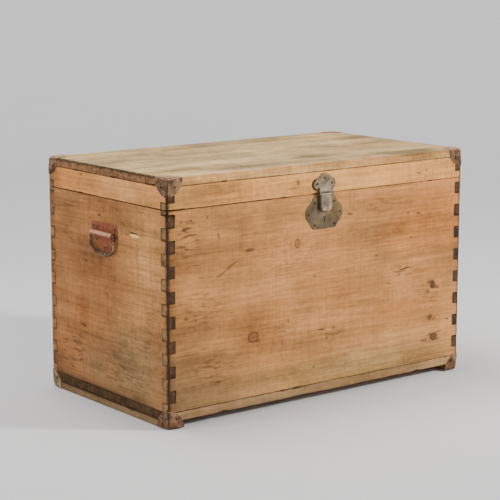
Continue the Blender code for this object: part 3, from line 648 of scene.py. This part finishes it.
FRONT_KNOTS = in_metres((
    (-72, 342, 11, 0.75, 0.75, 0.12), (-187, 160, 12.5, 1.2, 0.7, 0.35),
    (318, 207, 10.5, 0.85, 0.97, 0.9), (324, 87, 10, 1.15, 0.92, 0.85),
    (312, 133, 7, 1.1, 0.85, 0.8), (-197, 342, 4, 2.6, 0.8, 0.8),
), 3)
FRONT_MARKS = in_metres((
    (72, 390, 12, 3.8, -8, 0.7), (270, 372, 9, 3, 0, 0.85), (240, 375, 6, 3, 0, 0.45),
    (252, 320, 8, 2.8, 0, 0.65), (150, 291, 7, 2.8, 0, 0.65), (-25, 267, 3, 4, 0, 0.65),
    (-5, 150, 16, 2.6, -4, 0.75), (28, 150, 6, 5, 0, 0.55), (10, 130, 7, 4, 0, 0.55),
    (-95, 180, 3.2, 3.2, 0, 0.85), (-277, 80, 12, 3.4, 4, 0.6), (-25, 72, 6, 3.4, 0, 0.55),
    (232, 253, 24, 2.6, 8, 0.9), (210, 248, 18, 2.2, -6, 0.65), (185, 225, 18, 1.8, -12, 0.5),
    (-358, 400, 8, 6, 0, 0.8), (-342, 417, 4, 4, 30, 0.8), (-302, 420, 6, 2.4, 60, 0.7),
    (-366, 416, 5, 3.4, 0, 0.6), (-275, 380, 3, 8, 10, 0.55), (-256, 307, 42, 2.2, 28, 0.55),
    (-240, 318, 22, 1.8, 26, 0.6), (-110, 140, 4, 11, 0, 0.4), (-332, 215, 4, 5, 0, 0.6),
    (-356, 221, 6, 3.4, 0, 0.65), (296, 82, 16, 5, -10, 0.55), (305, 192, 7, 5, 30, 0.65),
    (365, 122, 9, 2.6, -10, 0.65), (235, 45, 1.6, 16, 0, 0.6), (-330, 326, 12, 1.8, 0, 0.5),
    (-355, 345, 14, 1.8, 10, 0.5), (-350, 372, 10, 1.6, 0, 0.5), (-318, 300, 8, 1.6, 0, 0.45),
    (0, 62, 1.2, 14, 0, 0.28), (60, 66, 1.2, 12, 0, 0.25), (83, 60, 1.4, 10, 0, 0.22),
    (180, 88, 1.6, 20, 0, 0.2), (330, 200, 12, 6, -20, 0.65), (308, 214, 10, 5, 15, 0.65),
    (337, 80, 10, 5, 10, 0.5), (312, 94, 9, 4.4, -15, 0.55), (324, 128, 10, 4, 20, 0.45),
    (-176, 150, 10, 4, 20, 0.5), (40, 236, 20, 1.4, 4, 0.35), (-60, 216, 26, 1.4, 0, 0.32),
    (120, 196, 30, 1.4, -3, 0.3), (-310, 155, 16, 2, 5, 0.4),
))
FRONT_SCUFFS = in_metres((
    (-350, 385, 45, 50, 0.75), (-320, 230, 80, 60, 0.4), (-280, 110, 90, 50, 0.45),
    (230, 250, 60, 20, 0.6), (300, 180, 50, 50, 0.4), (-150, 165, 100, 30, 0.3),
    (20, 140, 50, 25, 0.45), (330, 90, 50, 25, 0.5), (-100, 320, 120, 60, 0.28),
    (150, 400, 80, 30, 0.3),
))
# darker towards the lower left, brighter and warmer to the right: partly the wood's tone, partly
# painted light and shade
FRONT_SHADES = in_metres((
    (-420, 20, 400, 260, (0.51, 0.64, 0.81)), (330, 360, 280, 130, (1.05, 0.9, 0.72)),
    (-100, 60, 500, 50, (0.9, 0.96, 1.04)), (-170, 165, 120, 50, (0.78, 0.72, 0.64)),
    (-400, 300, 80, 400, (0.88, 0.86, 0.82)), (220, 275, 240, 50, (1.1, 1.12, 1.16)),
    (-60, 310, 220, 100, (1.08, 1.02, 0.98)), (230, 165, 140, 30, (0.9, 0.82, 0.72)),
    (160, 75, 360, 70, (1.02, 1.1, 1.22)), (-400, 240, 24, 800, (0.66, 0.62, 0.56)),
    (100, 75, 50, 22, (1.22, 1.26, 1.34)), (300, 245, 90, 16, (0.9, 0.8, 0.66)),
    (402, 240, 20, 800, (0.8, 0.76, 0.7)), (-20, 428, 340, 16, (1.06, 1.04, 1.0)),
    (100, 50, 480, 75, (0.9, 1.06, 1.03)), (210, 335, 85, 50, (1.34, 1.28, 1.2)),
    (80, 235, 300, 45, (0.86, 0.84, 0.8)), (-270, 400, 50, 40, (0.88, 0.9, 0.98)),
    (-50, 225, 300, 30, (0.92, 0.9, 0.88)),
))
LEFT_MARKS = in_metres((
    (22, 404, 6, 4.6, 0, 0.75), (4, 415, 1.8, 14, 0, 0.45), (12, 420, 8, 2, 0, 0.35),
    (90, 160, 18, 5, 10, 0.65), (102, 82, 12, 5, -20, 0.6), (0, 242, 12, 4.4, 0, 0.45),
    (75, 300, 7, 3.4, 0, 0.55), (-100, 118, 22, 2.2, 40, 0.45), (-85, 105, 18, 2.2, 42, 0.42),
    (135, 60, 16, 3.6, 0, 0.5), (-150, 80, 12, 3.4, 0, 0.45), (-103, 382.2, 20, 2.2, 3, 0.9),
    (-80, 377, 4, 4, 0, 0.7), (198.5, 360, 2.2, 40, 0, 0.4), (-130, 395, 12, 2, 10, 0.35),
))
LEFT_SCUFFS = in_metres((
    (130, 100, 80, 70, 0.55), (-50, 80, 120, 50, 0.45), (0, 360, 50, 60, 0.25),
    (150, 360, 50, 80, 0.3), (-170, 200, 50, 150, 0.3),
))
LEFT_SHADES = in_metres((
    (200, 50, 200, 160, (0.74, 0.7, 0.68)), (-150, 360, 120, 150, (1.58, 1.8, 1.88)),
    (20, 315, 80, 50, (0.8, 0.78, 0.74)), (85, 195, 50, 60, (0.82, 0.72, 0.58)),
    (-100, 80, 220, 140, (0.86, 1.1, 1.36)), (212, 250, 20, 700, (0.66, 0.6, 0.54)),
    (220, 50, 120, 60, (0.72, 0.74, 0.76)), (-110, 150, 140, 120, (1.28, 1.46, 1.58)),
    (50, 75, 70, 50, (0.68, 0.8, 0.82)), (100, 310, 180, 60, (0.78, 0.75, 0.72)),
    (140, 420, 60, 40, (0.92, 0.96, 1.0)), (0, 35, 400, 30, (0.72, 0.74, 0.78)),
    (-214, 200, 12, 700, (0.8, 0.8, 0.8)),
))
CREAM = (1.08, 0.72, 0.33)
GOUGE = (-0.105, 0.3785)
GOUGE_SIZE = (0.021, 0.004, 0.0016)
END_DARK = (0.074, 0.034, 0.013)
END_FRONT = (0.27, 0.142, 0.054)
END_BACK = (0.34, 0.15, 0.05)
END_TOP = (0.262, 0.128, 0.052)
END_BASE = (0.078, 0.038, 0.01)
CAP_SHADOW = 0.0405  # how far the dark rim reaches from the chest's corner
OUTLINE = 0.0014  # how far the painted shadow beside the latch's plates reaches
RING_SHADOW_GAP = 0.0022  # from the ring's outline to its painted shadow
RING_SHADOW_SIZE = (0.009, 0.0017)
RING_SHADOW_ARC = ((-35, 0.45), (-15, 0.65), (5, 0.75), (25, 0.85), (45, 0.85), (65, 0.8), (85, 0.6))
LOBE = 0.0125  # radius of the lid plate's lobes


def cap_outlines(half_along, low, high):
    """The dark rim round the corner caps, partly dirt and partly painted shade: one mark for each
    corner.
    """
    return tuple((sign * half_along, height, CAP_SHADOW, CAP_SHADOW, 0, 0.55)
                 for sign in (-1, 1) for height in (low, high))


def ring_shadow_marks():
    """The ring's painted shadow on the left panel: dark marks below it and in front of it."""
    low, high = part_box("handle_ring_left")
    radius = (high.y - low.y) / 2
    reach = radius + RING_SHADOW_GAP
    marks = []
    for turn, strength in RING_SHADOW_ARC:
        angle = math.radians(turn)
        marks.append((low.y + radius - reach * math.sin(angle),
                      low.z + radius - reach * math.cos(angle), *RING_SHADOW_SIZE, -turn, strength))
    return tuple(marks)


def gouge_cutter():
    along, across = GOUGE
    half_along, half_across, depth = GOUGE_SIZE
    bm = bmesh.new()
    bmesh.ops.create_icosphere(bm, subdivisions=3, radius=1.0)
    for vert in bm.verts:
        ragged = 1.0 + 0.25 * noise.noise(vert.co * 2.3)
        x, y, z = vert.co * ragged
        vert.co = (LEFT_X + x * depth, along + y * half_along, across + z * half_across)
    return bm


def make_walls():
    lock = middle("lock_plate")
    # painted shadows to the left of and below the lock plate and the lid plate's lobes
    lock_shadow = ((lock.x - OUTLINE, lock.z - OUTLINE, (LOCK_HIGH.x - LOCK_LOW.x) / 2 + OUTLINE,
                    (LOCK_HIGH.z - LOCK_LOW.z) / 2 + OUTLINE, 0, 0.8),)
    lobes = [middle(f"lid_plate_nail_{number}") for number in (1, 2, 3)]
    lid_shadow = tuple((lobe.x - OUTLINE, lobe.z - OUTLINE, LOBE + OUTLINE, LOBE + OUTLINE, STAIN_AND_SHADOW)
                       for lobe in lobes)
    # dark lines along the seam between lid and chest: dirt, and painted shade of the gap
    front_seam = ((-0.3, SEAM_Z, 0.34, 0.0018, 0.9), (0.2, SEAM_Z, 0.3, 0.0012, 0.75))
    side_seam = ((-0.12, SEAM_Z, 0.26, 0.0018, 0.9), (0.1, SEAM_Z, 0.2, 0.0014, 0.7))
    cream = ((GOUGE[0] - 0.002, GOUGE[1] - 0.0018, GOUGE_SIZE[0] * 0.9, GOUGE_SIZE[1] * 0.65,
              CREAM),)
    boards = {
        "front_panel": Board(
            ALONG_X_UPRIGHT, ORANGE, FRONT_Y, END_FRONT, pith=(0.205, 0.06), tilt=0.03, rings=110,
            shift=1.3, knots=FRONT_KNOTS, marks=FRONT_MARKS + lock_shadow, shades=FRONT_SHADES,
            scuffs=FRONT_SCUFFS, greyed=0.55),
        "back_panel": Board(
            ALONG_X_UPRIGHT, ORANGE, BACK_Y, END_BACK, pith=(0.28, 0.05), tilt=-0.02, rings=110,
            shift=7.7, saw=0.8,
            knots=in_metres(((210, 270, 11, 1.2, 0.8, 0.3), (-120, 130, 8, 1.0, 0.75, 0.7),
                             (-290, 330, 7, 1.3, 0.75, 0.6)), 3),
            marks=in_metres(((50, 340, 20, 2, 12, 0.5), (-220, 200, 12, 3, 0, 0.6))),
            shades=in_metres(((400, 30, 300, 200, (0.82, 0.8, 0.78)),
                              (-400, 200, 100, 300, (0.88, 0.86, 0.84)),
                              (0, 300, 300, 100, (1.06, 1.02, 1.0)))),
            scuffs=in_metres(((300, 120, 100, 80, 0.5), (-200, 300, 120, 60, 0.35)))),
        "left_panel": Board(
            ALONG_Y_UPRIGHT, SIDE, LEFT_X, END_DARK, pith=(0.16, 0.07), tilt=0.05, rings=120,
            shift=3.1, marks=LEFT_MARKS + ring_shadow_marks(), shades=LEFT_SHADES, scuffs=LEFT_SCUFFS,
            lines=in_metres(((50, 34, 300, 10, 0.55), (-120, 40, 60, 12, 0.3))), paints=cream,
            saw=0.75, greyed=0.45, contrast=1.25),
        "right_panel": Board(
            ALONG_Y_UPRIGHT, SIDE, RIGHT_X, END_DARK, pith=(0.26, 0.06), tilt=-0.04, rings=120,
            shift=5.4, saw=1.0, knots=in_metres(((90, 230, 10, 1.1, 0.75, 0.4),), 3),
            marks=in_metres(((-70, 300, 18, 2, 14, 0.5), (120, 110, 10, 3, 0, 0.55))),
            shades=in_metres(((180, 50, 200, 140, (0.8, 0.77, 0.74)),)),
            scuffs=in_metres(((-100, 100, 90, 60, 0.5),))),
        "lid_front_rail": Board(
            ALONG_X_UPRIGHT, RAIL, FRONT_Y, END_FRONT, pith=(0.5, 0.05), tilt=0.015, shift=11.2,
            saw=0.7, knots=in_metres(((-70, 469, 5.5, 0.8, 0.75, 0.65),), 3), paints=lid_shadow,
            marks=in_metres(((270, 461, 8, 3, 0, 0.6), (295, 465, 3, 5, 0, 0.65),
                             (-84, 458, 18, 5, 0, 0.35))),
            shades=in_metres(((-395, 466, 100, 80, (0.76, 0.8, 0.86)),
                              (-220, 466, 120, 40, (1.16, 1.12, 1.06)),
                              (300, 466, 300, 60, (0.92, 0.9, 0.86)),
                              (-400, 460, 24, 100, (0.66, 0.62, 0.56))))),
        "lid_back_rail": Board(
            ALONG_X_UPRIGHT, RAIL, BACK_Y, END_BACK, pith=(0.43, 0.05), tilt=0.015, shift=18.6),
        "lid_left_rail": Board(
            ALONG_Y_UPRIGHT, SIDE_RAIL, LEFT_X, END_DARK, pith=(0.47, 0.06), shift=13.9,
            greyed=0.2, marks=in_metres(((90, 481, 7, 3, 0, 0.7),)),
            shades=in_metres(((-60, 465, 200, 80, (1.05, 1.15, 1.4)),
                              (210, 465, 60, 80, (0.62, 0.6, 0.6))))),
        "lid_right_rail": Board(
            ALONG_Y_UPRIGHT, SIDE_RAIL, RIGHT_X, END_DARK, pith=(0.45, 0.06), shift=16.4),
    }
    wear, dirt = board_wear(0.0006, 0.0018), edge_marking(0.9)
    for node, board in boards.items():
        if board.axes == ALONG_X_UPRIGHT:
            board.half, seam = RIGHT_X, front_seam
            board.through_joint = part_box("front_panel")[1].y - FRONT_Y
        else:
            board.half, seam = BACK_Y, side_seam
            board.through_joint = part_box("left_panel")[1].x - LEFT_X
        board.marks += cap_outlines(board.half, 0.0, TOP_Z)
        board.lines += seam
        cutters = (gouge_cutter(),) if node == "left_panel" else ()
        worn(node, pine(f"pine_{node}", board), 0.0006, wear, dirt, cutters=cutters)


def make_lid_top():
    caps = cap_outlines(RIGHT_X, FRONT_Y, BACK_Y)
    looks = {
        "lid_board_front": (0.03, (
            (-0.36, -0.15, 0.3, 0.14, (1.16, 1.14, 1.14)),
            (-0.38, FRONT_Y, 0.1, 0.012, (0.8, 0.76, 0.72)),
            (-0.06, -0.205, 0.06, 0.012, (1.3, 1.06, 0.82)),
            (0.0, FRONT_Y, 3.0, 0.004, (1.0, 0.72, 0.47)),
            (0.2, -0.17, 0.2, 0.03, (0.96, 0.92, 0.84))), (
            (0.06, -0.15, 0.02, 0.003, 12, 0.55), (0.085, -0.17, 0.016, 0.0026, -20, 0.5),
            (0.035, -0.185, 0.012, 0.003, 30, 0.5), (0.0, -0.16, 0.008, 0.004, 60, 0.4),
            (0.14, -0.195, 0.014, 0.0028, 5, 0.4))),
        "lid_board_middle": (-0.02, (
            (0.3, -0.06, 0.25, 0.1, (0.92, 0.88, 0.8)),
            (0.05, 0.0, 0.2, 0.06, (0.96, 0.94, 0.84)),
            (-0.34, 0.0, 0.26, 0.12, (1.14, 1.14, 1.16))), ()),
        "lid_board_back": (0.025, (
            (-0.3, 0.15, 0.28, 0.12, (1.14, 1.14, 1.16)),
            (0.28, 0.14, 0.22, 0.08, (0.9, 0.86, 0.78))), ()),
    }
    wear, dirt = board_wear(0.0009, 0.004), edge_marking(0.8, 0.12)
    for index, (node, (tilt, shades, marks)) in enumerate(looks.items()):
        board = Board(
            ALONG_X_FLAT, BLEACHED, TOP_Z, END_TOP, pith=(middle(node).y, 0.09),
            tilt=tilt, shift=21.3 + 2.9 * index, shades=shades, marks=marks + caps,
            scuffs=((0.0, 0.0, 0.42, 0.24, 0.22),), greyed=0.6, rough=0.66, contrast=1.55,
            half=RIGHT_X)
        worn(node, pine(f"pine_{node}", board), 0.0007, wear, dirt)


def make_base():
    wear, dirt = board_wear(0.0009, 0.004), edge_marking(0.85)
    stain = ((0.235, FRONT_Y, 0.003, 0.02, 0, 0.6),)
    for index, node in enumerate(("base_board_front", "base_board_back")):
        board = Board(
            ALONG_X_FLAT, DUSTY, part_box(node)[0].z, END_BASE, pith=(-0.1 + 0.2 * index, 0.04),
            shift=31.7 + 3.3 * index, marks=stain,
            shades=((-0.3, FRONT_Y, 0.3, 0.2, (0.74, 0.74, 0.76)),
                    (0.2, FRONT_Y, 0.25, 0.2, (1.1, 1.08, 1.06))), half=RIGHT_X)
        worn(node, pine(f"pine_{node}", board), 0.0008, wear, dirt)
    skid = pine("pine_skids", Board(
        ALONG_Y_FLAT, SKIDS, LEFT_X, END_BASE, pith=(0.3, 0.03), shift=41.0,
        shades=((0.2, LEFT_X, 0.25, 0.2, (0.66, 0.64, 0.62)),
                (-0.2, LEFT_X, 0.2, 0.2, (1.2, 1.2, 1.2)))))
    for node in ("skid_left", "skid_right"):
        worn(node, skid, 0.0008, board_wear(0.0007, 0.003), dirt)


# ---- hardware ------------------------
DUST = (0.42, 0.24, 0.125)
BARREL_Z = 0.3705  # height of the worn bands with a painted highlight on the barrels that hold the rings
NAIL_RADIUS = 0.0027
NAIL_DOME = 0.0009
CAP_NAIL = 0.02  # from the chest's corner to a cap's nail
LEAF_THICK = 0.0015  # of a hinge leaf, which lies on the back
HASP_SHADE = (0.004, 0.003, 0.002)  # the painted shadow on the lock plate round the hasp
HINGE_NAILS = ((-0.019, 0.012), (0.019, 0.012), (-0.019, 0.031), (0.019, 0.031), (0.0, 0.022))


def add_nail_head(bm, centre, outward):
    """One domed head, sunk a little at its rim and not quite round."""
    outward = Vector(outward)
    turn = outward.to_track_quat("Z", "Y").to_matrix()
    sides, rows = 12, 4
    tilt = Vector((noise.noise(centre * 91.0), noise.noise(centre * 57.0), 0.0)) * 0.12
    rings = []
    for row in range(rows):
        angle = math.pi / 2 * row / rows
        ring = []
        for side in range(sides):
            around = math.tau * side / sides
            local = Vector((math.cos(around), math.sin(around), 0.0)) * NAIL_RADIUS
            local *= math.cos(angle) * (1.0 + 0.08 * noise.noise(centre * 40.0 + local * 300.0))
            height = NAIL_DOME * math.sin(angle) * (1.0 + local.dot(tilt) / NAIL_RADIUS)
            ring.append(bm.verts.new(centre + turn @ (local + Vector((0.0, 0.0, height)))))
        rings.append(ring)
    foot = [bm.verts.new(v.co - outward * NAIL_DOME) for v in rings[0]]
    rings.insert(0, foot)
    for lower, upper in zip(rings, rings[1:]):
        join_rings(bm, lower, upper)
    top = bm.verts.new(centre + outward * NAIL_DOME)
    for side in range(sides):
        bm.faces.new((rings[-1][side], rings[-1][(side + 1) % sides], top))
    bm.faces.new(foot[::-1])


def nail_heads(name, places, body, material):
    bm = bmesh.new()
    for centre, outward in places:
        add_nail_head(bm, Vector(centre), outward)
    for face in bm.faces:
        face.smooth = True
    place_piece(bm, name, body, material)


def cap_nail_places(level):
    """Nail heads on the two upright faces of the four caps at one level."""
    low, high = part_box(f"corner_cap_{level}_front_left")
    _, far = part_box(f"corner_cap_{level}_back_right")
    height = high.z - CAP_NAIL if level == "top" else low.z + CAP_NAIL
    along_x, along_y = far.x - CAP_NAIL, far.y - CAP_NAIL
    places = []
    for sign_x in (-1, 1):
        for sign_y in (-1, 1):
            places.append(((sign_x * along_x, sign_y * far.y, height), (0, sign_y, 0)))
            places.append(((sign_x * far.x, sign_y * along_y, height), (sign_x, 0, 0)))
    return places


def hinge_nail_places(part, direction):
    places = []
    for side in ("left", "right"):
        leaf = middle(f"hinge_leaf_{part}_{side}")
        for across, reach in HINGE_NAILS:
            places.append(((leaf.x + across, BACK_Y + LEAF_THICK, SEAM_Z + direction * reach),
                           (0, 1, 0)))
    return places


def make_hardware():
    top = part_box("corner_cap_top_front_left")[1].z
    x, y = RIGHT_X - CAP_NAIL, BACK_Y - CAP_NAIL
    holes = tuple(((sx * x, sy * y, top), 0.0032, 0.85) for sx in (-1, 1) for sy in (-1, 1))
    folds = (RIGHT_X + 0.001, BACK_Y + 0.001)
    cap = iron("rusty_cap", (0.22, 0.112, 0.046), (0.15, 0.054, 0.018), (0.02, 0.009, 0.004),
               0.5, 0.0, rough=(0.5, 0.85), relief=0.0008, dust=DUST, rim=(0.6, 0.38, 0.22),
               spots=holes, fold=folds)
    khaki_cap = iron("dusty_cap", (0.33, 0.205, 0.098), (0.26, 0.13, 0.052),
                     (0.03, 0.016, 0.008), 0.4, 0.0, rough=(0.55, 0.85), relief=0.0008,
                     dust=DUST, rim=(0.03, 0.016, 0.008), fold=folds)
    hinge = iron("rusty_hinge", (0.2, 0.13, 0.08), (0.165, 0.065, 0.028),
                 (0.04, 0.022, 0.012), 0.6, 0.35, rough=(0.5, 0.85), rim=(0.3, 0.22, 0.15))
    scrolls = [(middle(f"lid_plate_nail_{number}") + Vector((-0.0016, 0.0, 0.0006)), 0.0042, 0.6)
               for number in (2, 3)]
    latch = iron("aged_latch", (0.19, 0.142, 0.076), (0.15, 0.095, 0.044),
                 (0.026, 0.017, 0.009), 0.25, 0.1, rough=(0.45, 0.75), rim=(0.5, 0.38, 0.22),
                 spots=scrolls)
    plate_z = middle("lock_plate").z
    brassy = (((0.026, LOCK_LOW.y, plate_z + 0.006), (0.022, 0.01, 0.036), (0.15, 0.082, 0.018),
               0.95),
              ((-0.016, LOCK_LOW.y, plate_z - 0.014), (0.03, 0.01, 0.03), (0.165, 0.112, 0.054),
               0.8))
    hasp_low, hasp_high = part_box("hasp")
    hasp_z = middle("hasp").z
    # painted shadow of the hasp on the lock plate, to its left and below its end
    hasp_shadow = (((hasp_low.x - 0.0006, LOCK_LOW.y, hasp_z - 0.004), (0.004, 0.01, 0.024),
                   HASP_SHADE, 1.0),
                  ((-0.001, LOCK_LOW.y, hasp_low.z - 0.0006), (0.013, 0.01, 0.0036),
                   HASP_SHADE, 1.0))
    key_z = middle("lock_key_post").z
    # two dots of painted shade in the keyhole
    keyhole_shade = (((0.0, LOCK_LOW.y, key_z + 0.0006), 0.0032, 0.9),
               ((0.0, LOCK_LOW.y, key_z - 0.0078), 0.0026, 0.9))
    lock = iron("aged_lock", (0.18, 0.118, 0.05), (0.115, 0.066, 0.026),
                (0.024, 0.015, 0.008), 0.3, 0.1, rough=(0.45, 0.75), rim=(0.46, 0.34, 0.19),
                spots=keyhole_shade, wear_and_light_spots=brassy + hasp_shadow)
    worn_centre = (0.0, hasp_low.y, hasp_low.z * 0.55 + hasp_high.z * 0.45)
    hasp = iron("worn_hasp", (0.35, 0.272, 0.16), (0.23, 0.16, 0.078),
                (0.034, 0.024, 0.015), 0.15, 0.2, rough=(0.38, 0.62), rim=(0.72, 0.58, 0.38),
                wear_and_light_spots=((worn_centre, (0.0125, 0.02, 0.0145), (0.14, 0.106, 0.088), 0.9),))
    handle_low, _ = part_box("handle_plate_left")
    # worn bright metal with a painted highlight along each barrel that holds a ring
    barrel_wear_glint = tuple(((sign * abs(handle_low.x), 0.0, BARREL_Z), (0.006, 0.3, 0.0062),
                    (0.66, 0.37, 0.22), 0.95) for sign in (-1, 1))
    handle = iron("red_rust", (0.44, 0.145, 0.062), (0.4, 0.12, 0.05),
                  (0.06, 0.02, 0.009), 0.9, 0.0, rough=(0.5, 0.85), relief=0.0005,
                  rim=(0.6, 0.3, 0.17), wear_and_light_spots=barrel_wear_glint)
    ring = iron("ring_rust", (0.25, 0.124, 0.06), (0.12, 0.048, 0.022), (0.02, 0.01, 0.005),
                0.45, 0.15, rough=(0.35, 0.7))
    nail = iron("nail_iron", (0.036, 0.021, 0.013), (0.026, 0.012, 0.006), (0.006, 0.004, 0.002),
                0.6, 0.2, rough=(0.4, 0.75))
    inner = iron("inner_steel", (0.3, 0.28, 0.25), (0.18, 0.1, 0.06), (0.05, 0.04, 0.03),
                 0.3, 0.8)
    brass = iron("dull_brass", (0.52, 0.37, 0.15), (0.25, 0.16, 0.07), (0.08, 0.05, 0.02),
                 0.25, 0.9, rough=(0.32, 0.6))
    finishes = {"cap_iron": cap, "latch_steel": latch, "hasp_steel": hasp, "handle_iron": handle,
                "ring_iron": ring, "nail_iron": nail, "hinge_iron": hinge, "inner_steel": inner,
                "bolt_brass": brass}
    by_node = {"lock_plate": lock, "corner_cap_bottom_back_left": khaki_cap}
    for node in frame["nodes"]:
        material = by_node.get(node, finishes.get(SLOT_OF[node]))
        if material:
            worn(node, material, 0.0003, sheet_wear(0.0001), edge_marking(0.8), step=0.02, angle=38)
    nail_heads("cap_nails_lid", cap_nail_places("top"), "lid", nail)
    nail_heads("cap_nails_chest", cap_nail_places("bottom"), "chest", nail)
    nail_heads("hinge_nails_lid", hinge_nail_places("lid", 1), "lid", nail)
    nail_heads("hinge_nails_chest", hinge_nail_places("body", -1), "chest", nail)


# ---- floor, light and camera ---------
STAGE_RADIUS = 7.5  # the round wall stands outside the camera
STAGE_BEND = 1.8  # radius of the bend from floor to wall
STAGE_HEIGHT = 3.6
STAGE_SIDES = 72
STAGE_BEND_STEPS = 12
WALL_GLOW = 0.3  # the wall is lit evenly, like a studio's white surround
GLOW_START, GLOW_END = 1.5, 5.5  # distances from the chest between which the glow rises
SKY = (0.93, 0.96, 1.0, 1.0)
SKY_STRENGTH = 0.345
LIGHT_AIM_Z = 0.25  # the lights point at the middle of the chest
LIGHTS = (  # name, place, diameter, watts, colour
    ("key", (2.9, -3.1, 2.6), 0.7, 232.0, (1.0, 0.985, 0.96)),
    ("fill", (-3.6, 0.9, 2.3), 0.9, 32.0, (0.98, 0.985, 1.0)),
    ("overhead", (-0.6, 0.8, 3.8), 2.4, 108.0, WHITE),
)
# the camera, solved from the chest's own edges in the photograph
CAMERA_PLACE = (-2.199, -2.799, 0.941)
CAMERA_HEADING = 37.84  # degrees from +Y towards +X
CAMERA_DIP = 10.39
CAMERA_LENS = 118.2  # mm, on a sensor 36 mm wide


def make_stage():
    """A plain pale floor that bends up into a round wall."""
    g = Graph("stage_paint")
    place = g.coordinate("Object")
    cloud = g.noise(place, 1.5, 3.0)
    away = g.distance(place, (0.0, 0.0, 0.0), (1.0, 1.0, 1.0))
    g.put(g.shader.inputs["Emission Color"], WHITE)
    g.put(g.shader.inputs["Emission Strength"], g.remap(away, GLOW_START, GLOW_END, 0.0, WALL_GLOW))
    tone = g.mix(cloud, (0.72, 0.72, 0.72), (0.77, 0.765, 0.76))
    material = g.finish(tone, 0.75)
    profile = []
    for step in range(STAGE_BEND_STEPS + 1):
        angle = math.pi / 2 * step / STAGE_BEND_STEPS
        profile.append((STAGE_RADIUS - STAGE_BEND * (1.0 - math.sin(angle)),
                        STAGE_BEND * (1.0 - math.cos(angle))))
    profile.append((STAGE_RADIUS, STAGE_HEIGHT))
    bm = bmesh.new()
    rings = []
    for radius, up in profile:
        ring = []
        for side in range(STAGE_SIDES):
            around = math.tau * side / STAGE_SIDES
            ring.append(bm.verts.new((radius * math.cos(around), radius * math.sin(around), up)))
        rings.append(ring)
    bm.faces.new(rings[0])
    for inner, outer in zip(rings, rings[1:]):
        join_rings(bm, outer, inner)
    for face in bm.faces:
        face.smooth = True
    stage = mesh_object(bm, "stage", material)


def area_light(name, location, size, power, colour):
    data = bpy.data.lights.new(name, "AREA")
    data.shape = "DISK"
    data.size = size
    data.energy = power
    data.color = colour
    light = linked(name, data)
    light.location = location
    aim = Vector((0.0, 0.0, LIGHT_AIM_Z)) - light.location
    light.rotation_euler = aim.to_track_quat("-Z", "Y").to_euler()


def make_lights():
    world = bpy.data.worlds.new("studio")
    world.use_nodes = True
    background = world.node_tree.nodes["Background"]
    background.inputs["Color"].default_value = SKY
    background.inputs["Strength"].default_value = SKY_STRENGTH
    bpy.context.scene.world = world
    for light in LIGHTS:
        area_light(*light)


def make_camera():
    """The view of the photograph."""
    data = bpy.data.cameras.new("camera")
    data.lens = CAMERA_LENS
    data.sensor_width = 36.0
    camera = linked("camera", data)
    camera.location = CAMERA_PLACE
    heading, dip = math.radians(CAMERA_HEADING), math.radians(CAMERA_DIP)
    forward = Vector((math.sin(heading) * math.cos(dip), math.cos(heading) * math.cos(dip),
                      -math.sin(dip)))
    camera.rotation_euler = forward.to_track_quat("-Z", "Y").to_euler()
    bpy.context.scene.camera = camera


make_camera()
make_stage()
make_lights()
make_walls()
make_lid_top()
make_base()
make_hardware()

bpy.context.view_layer.update()
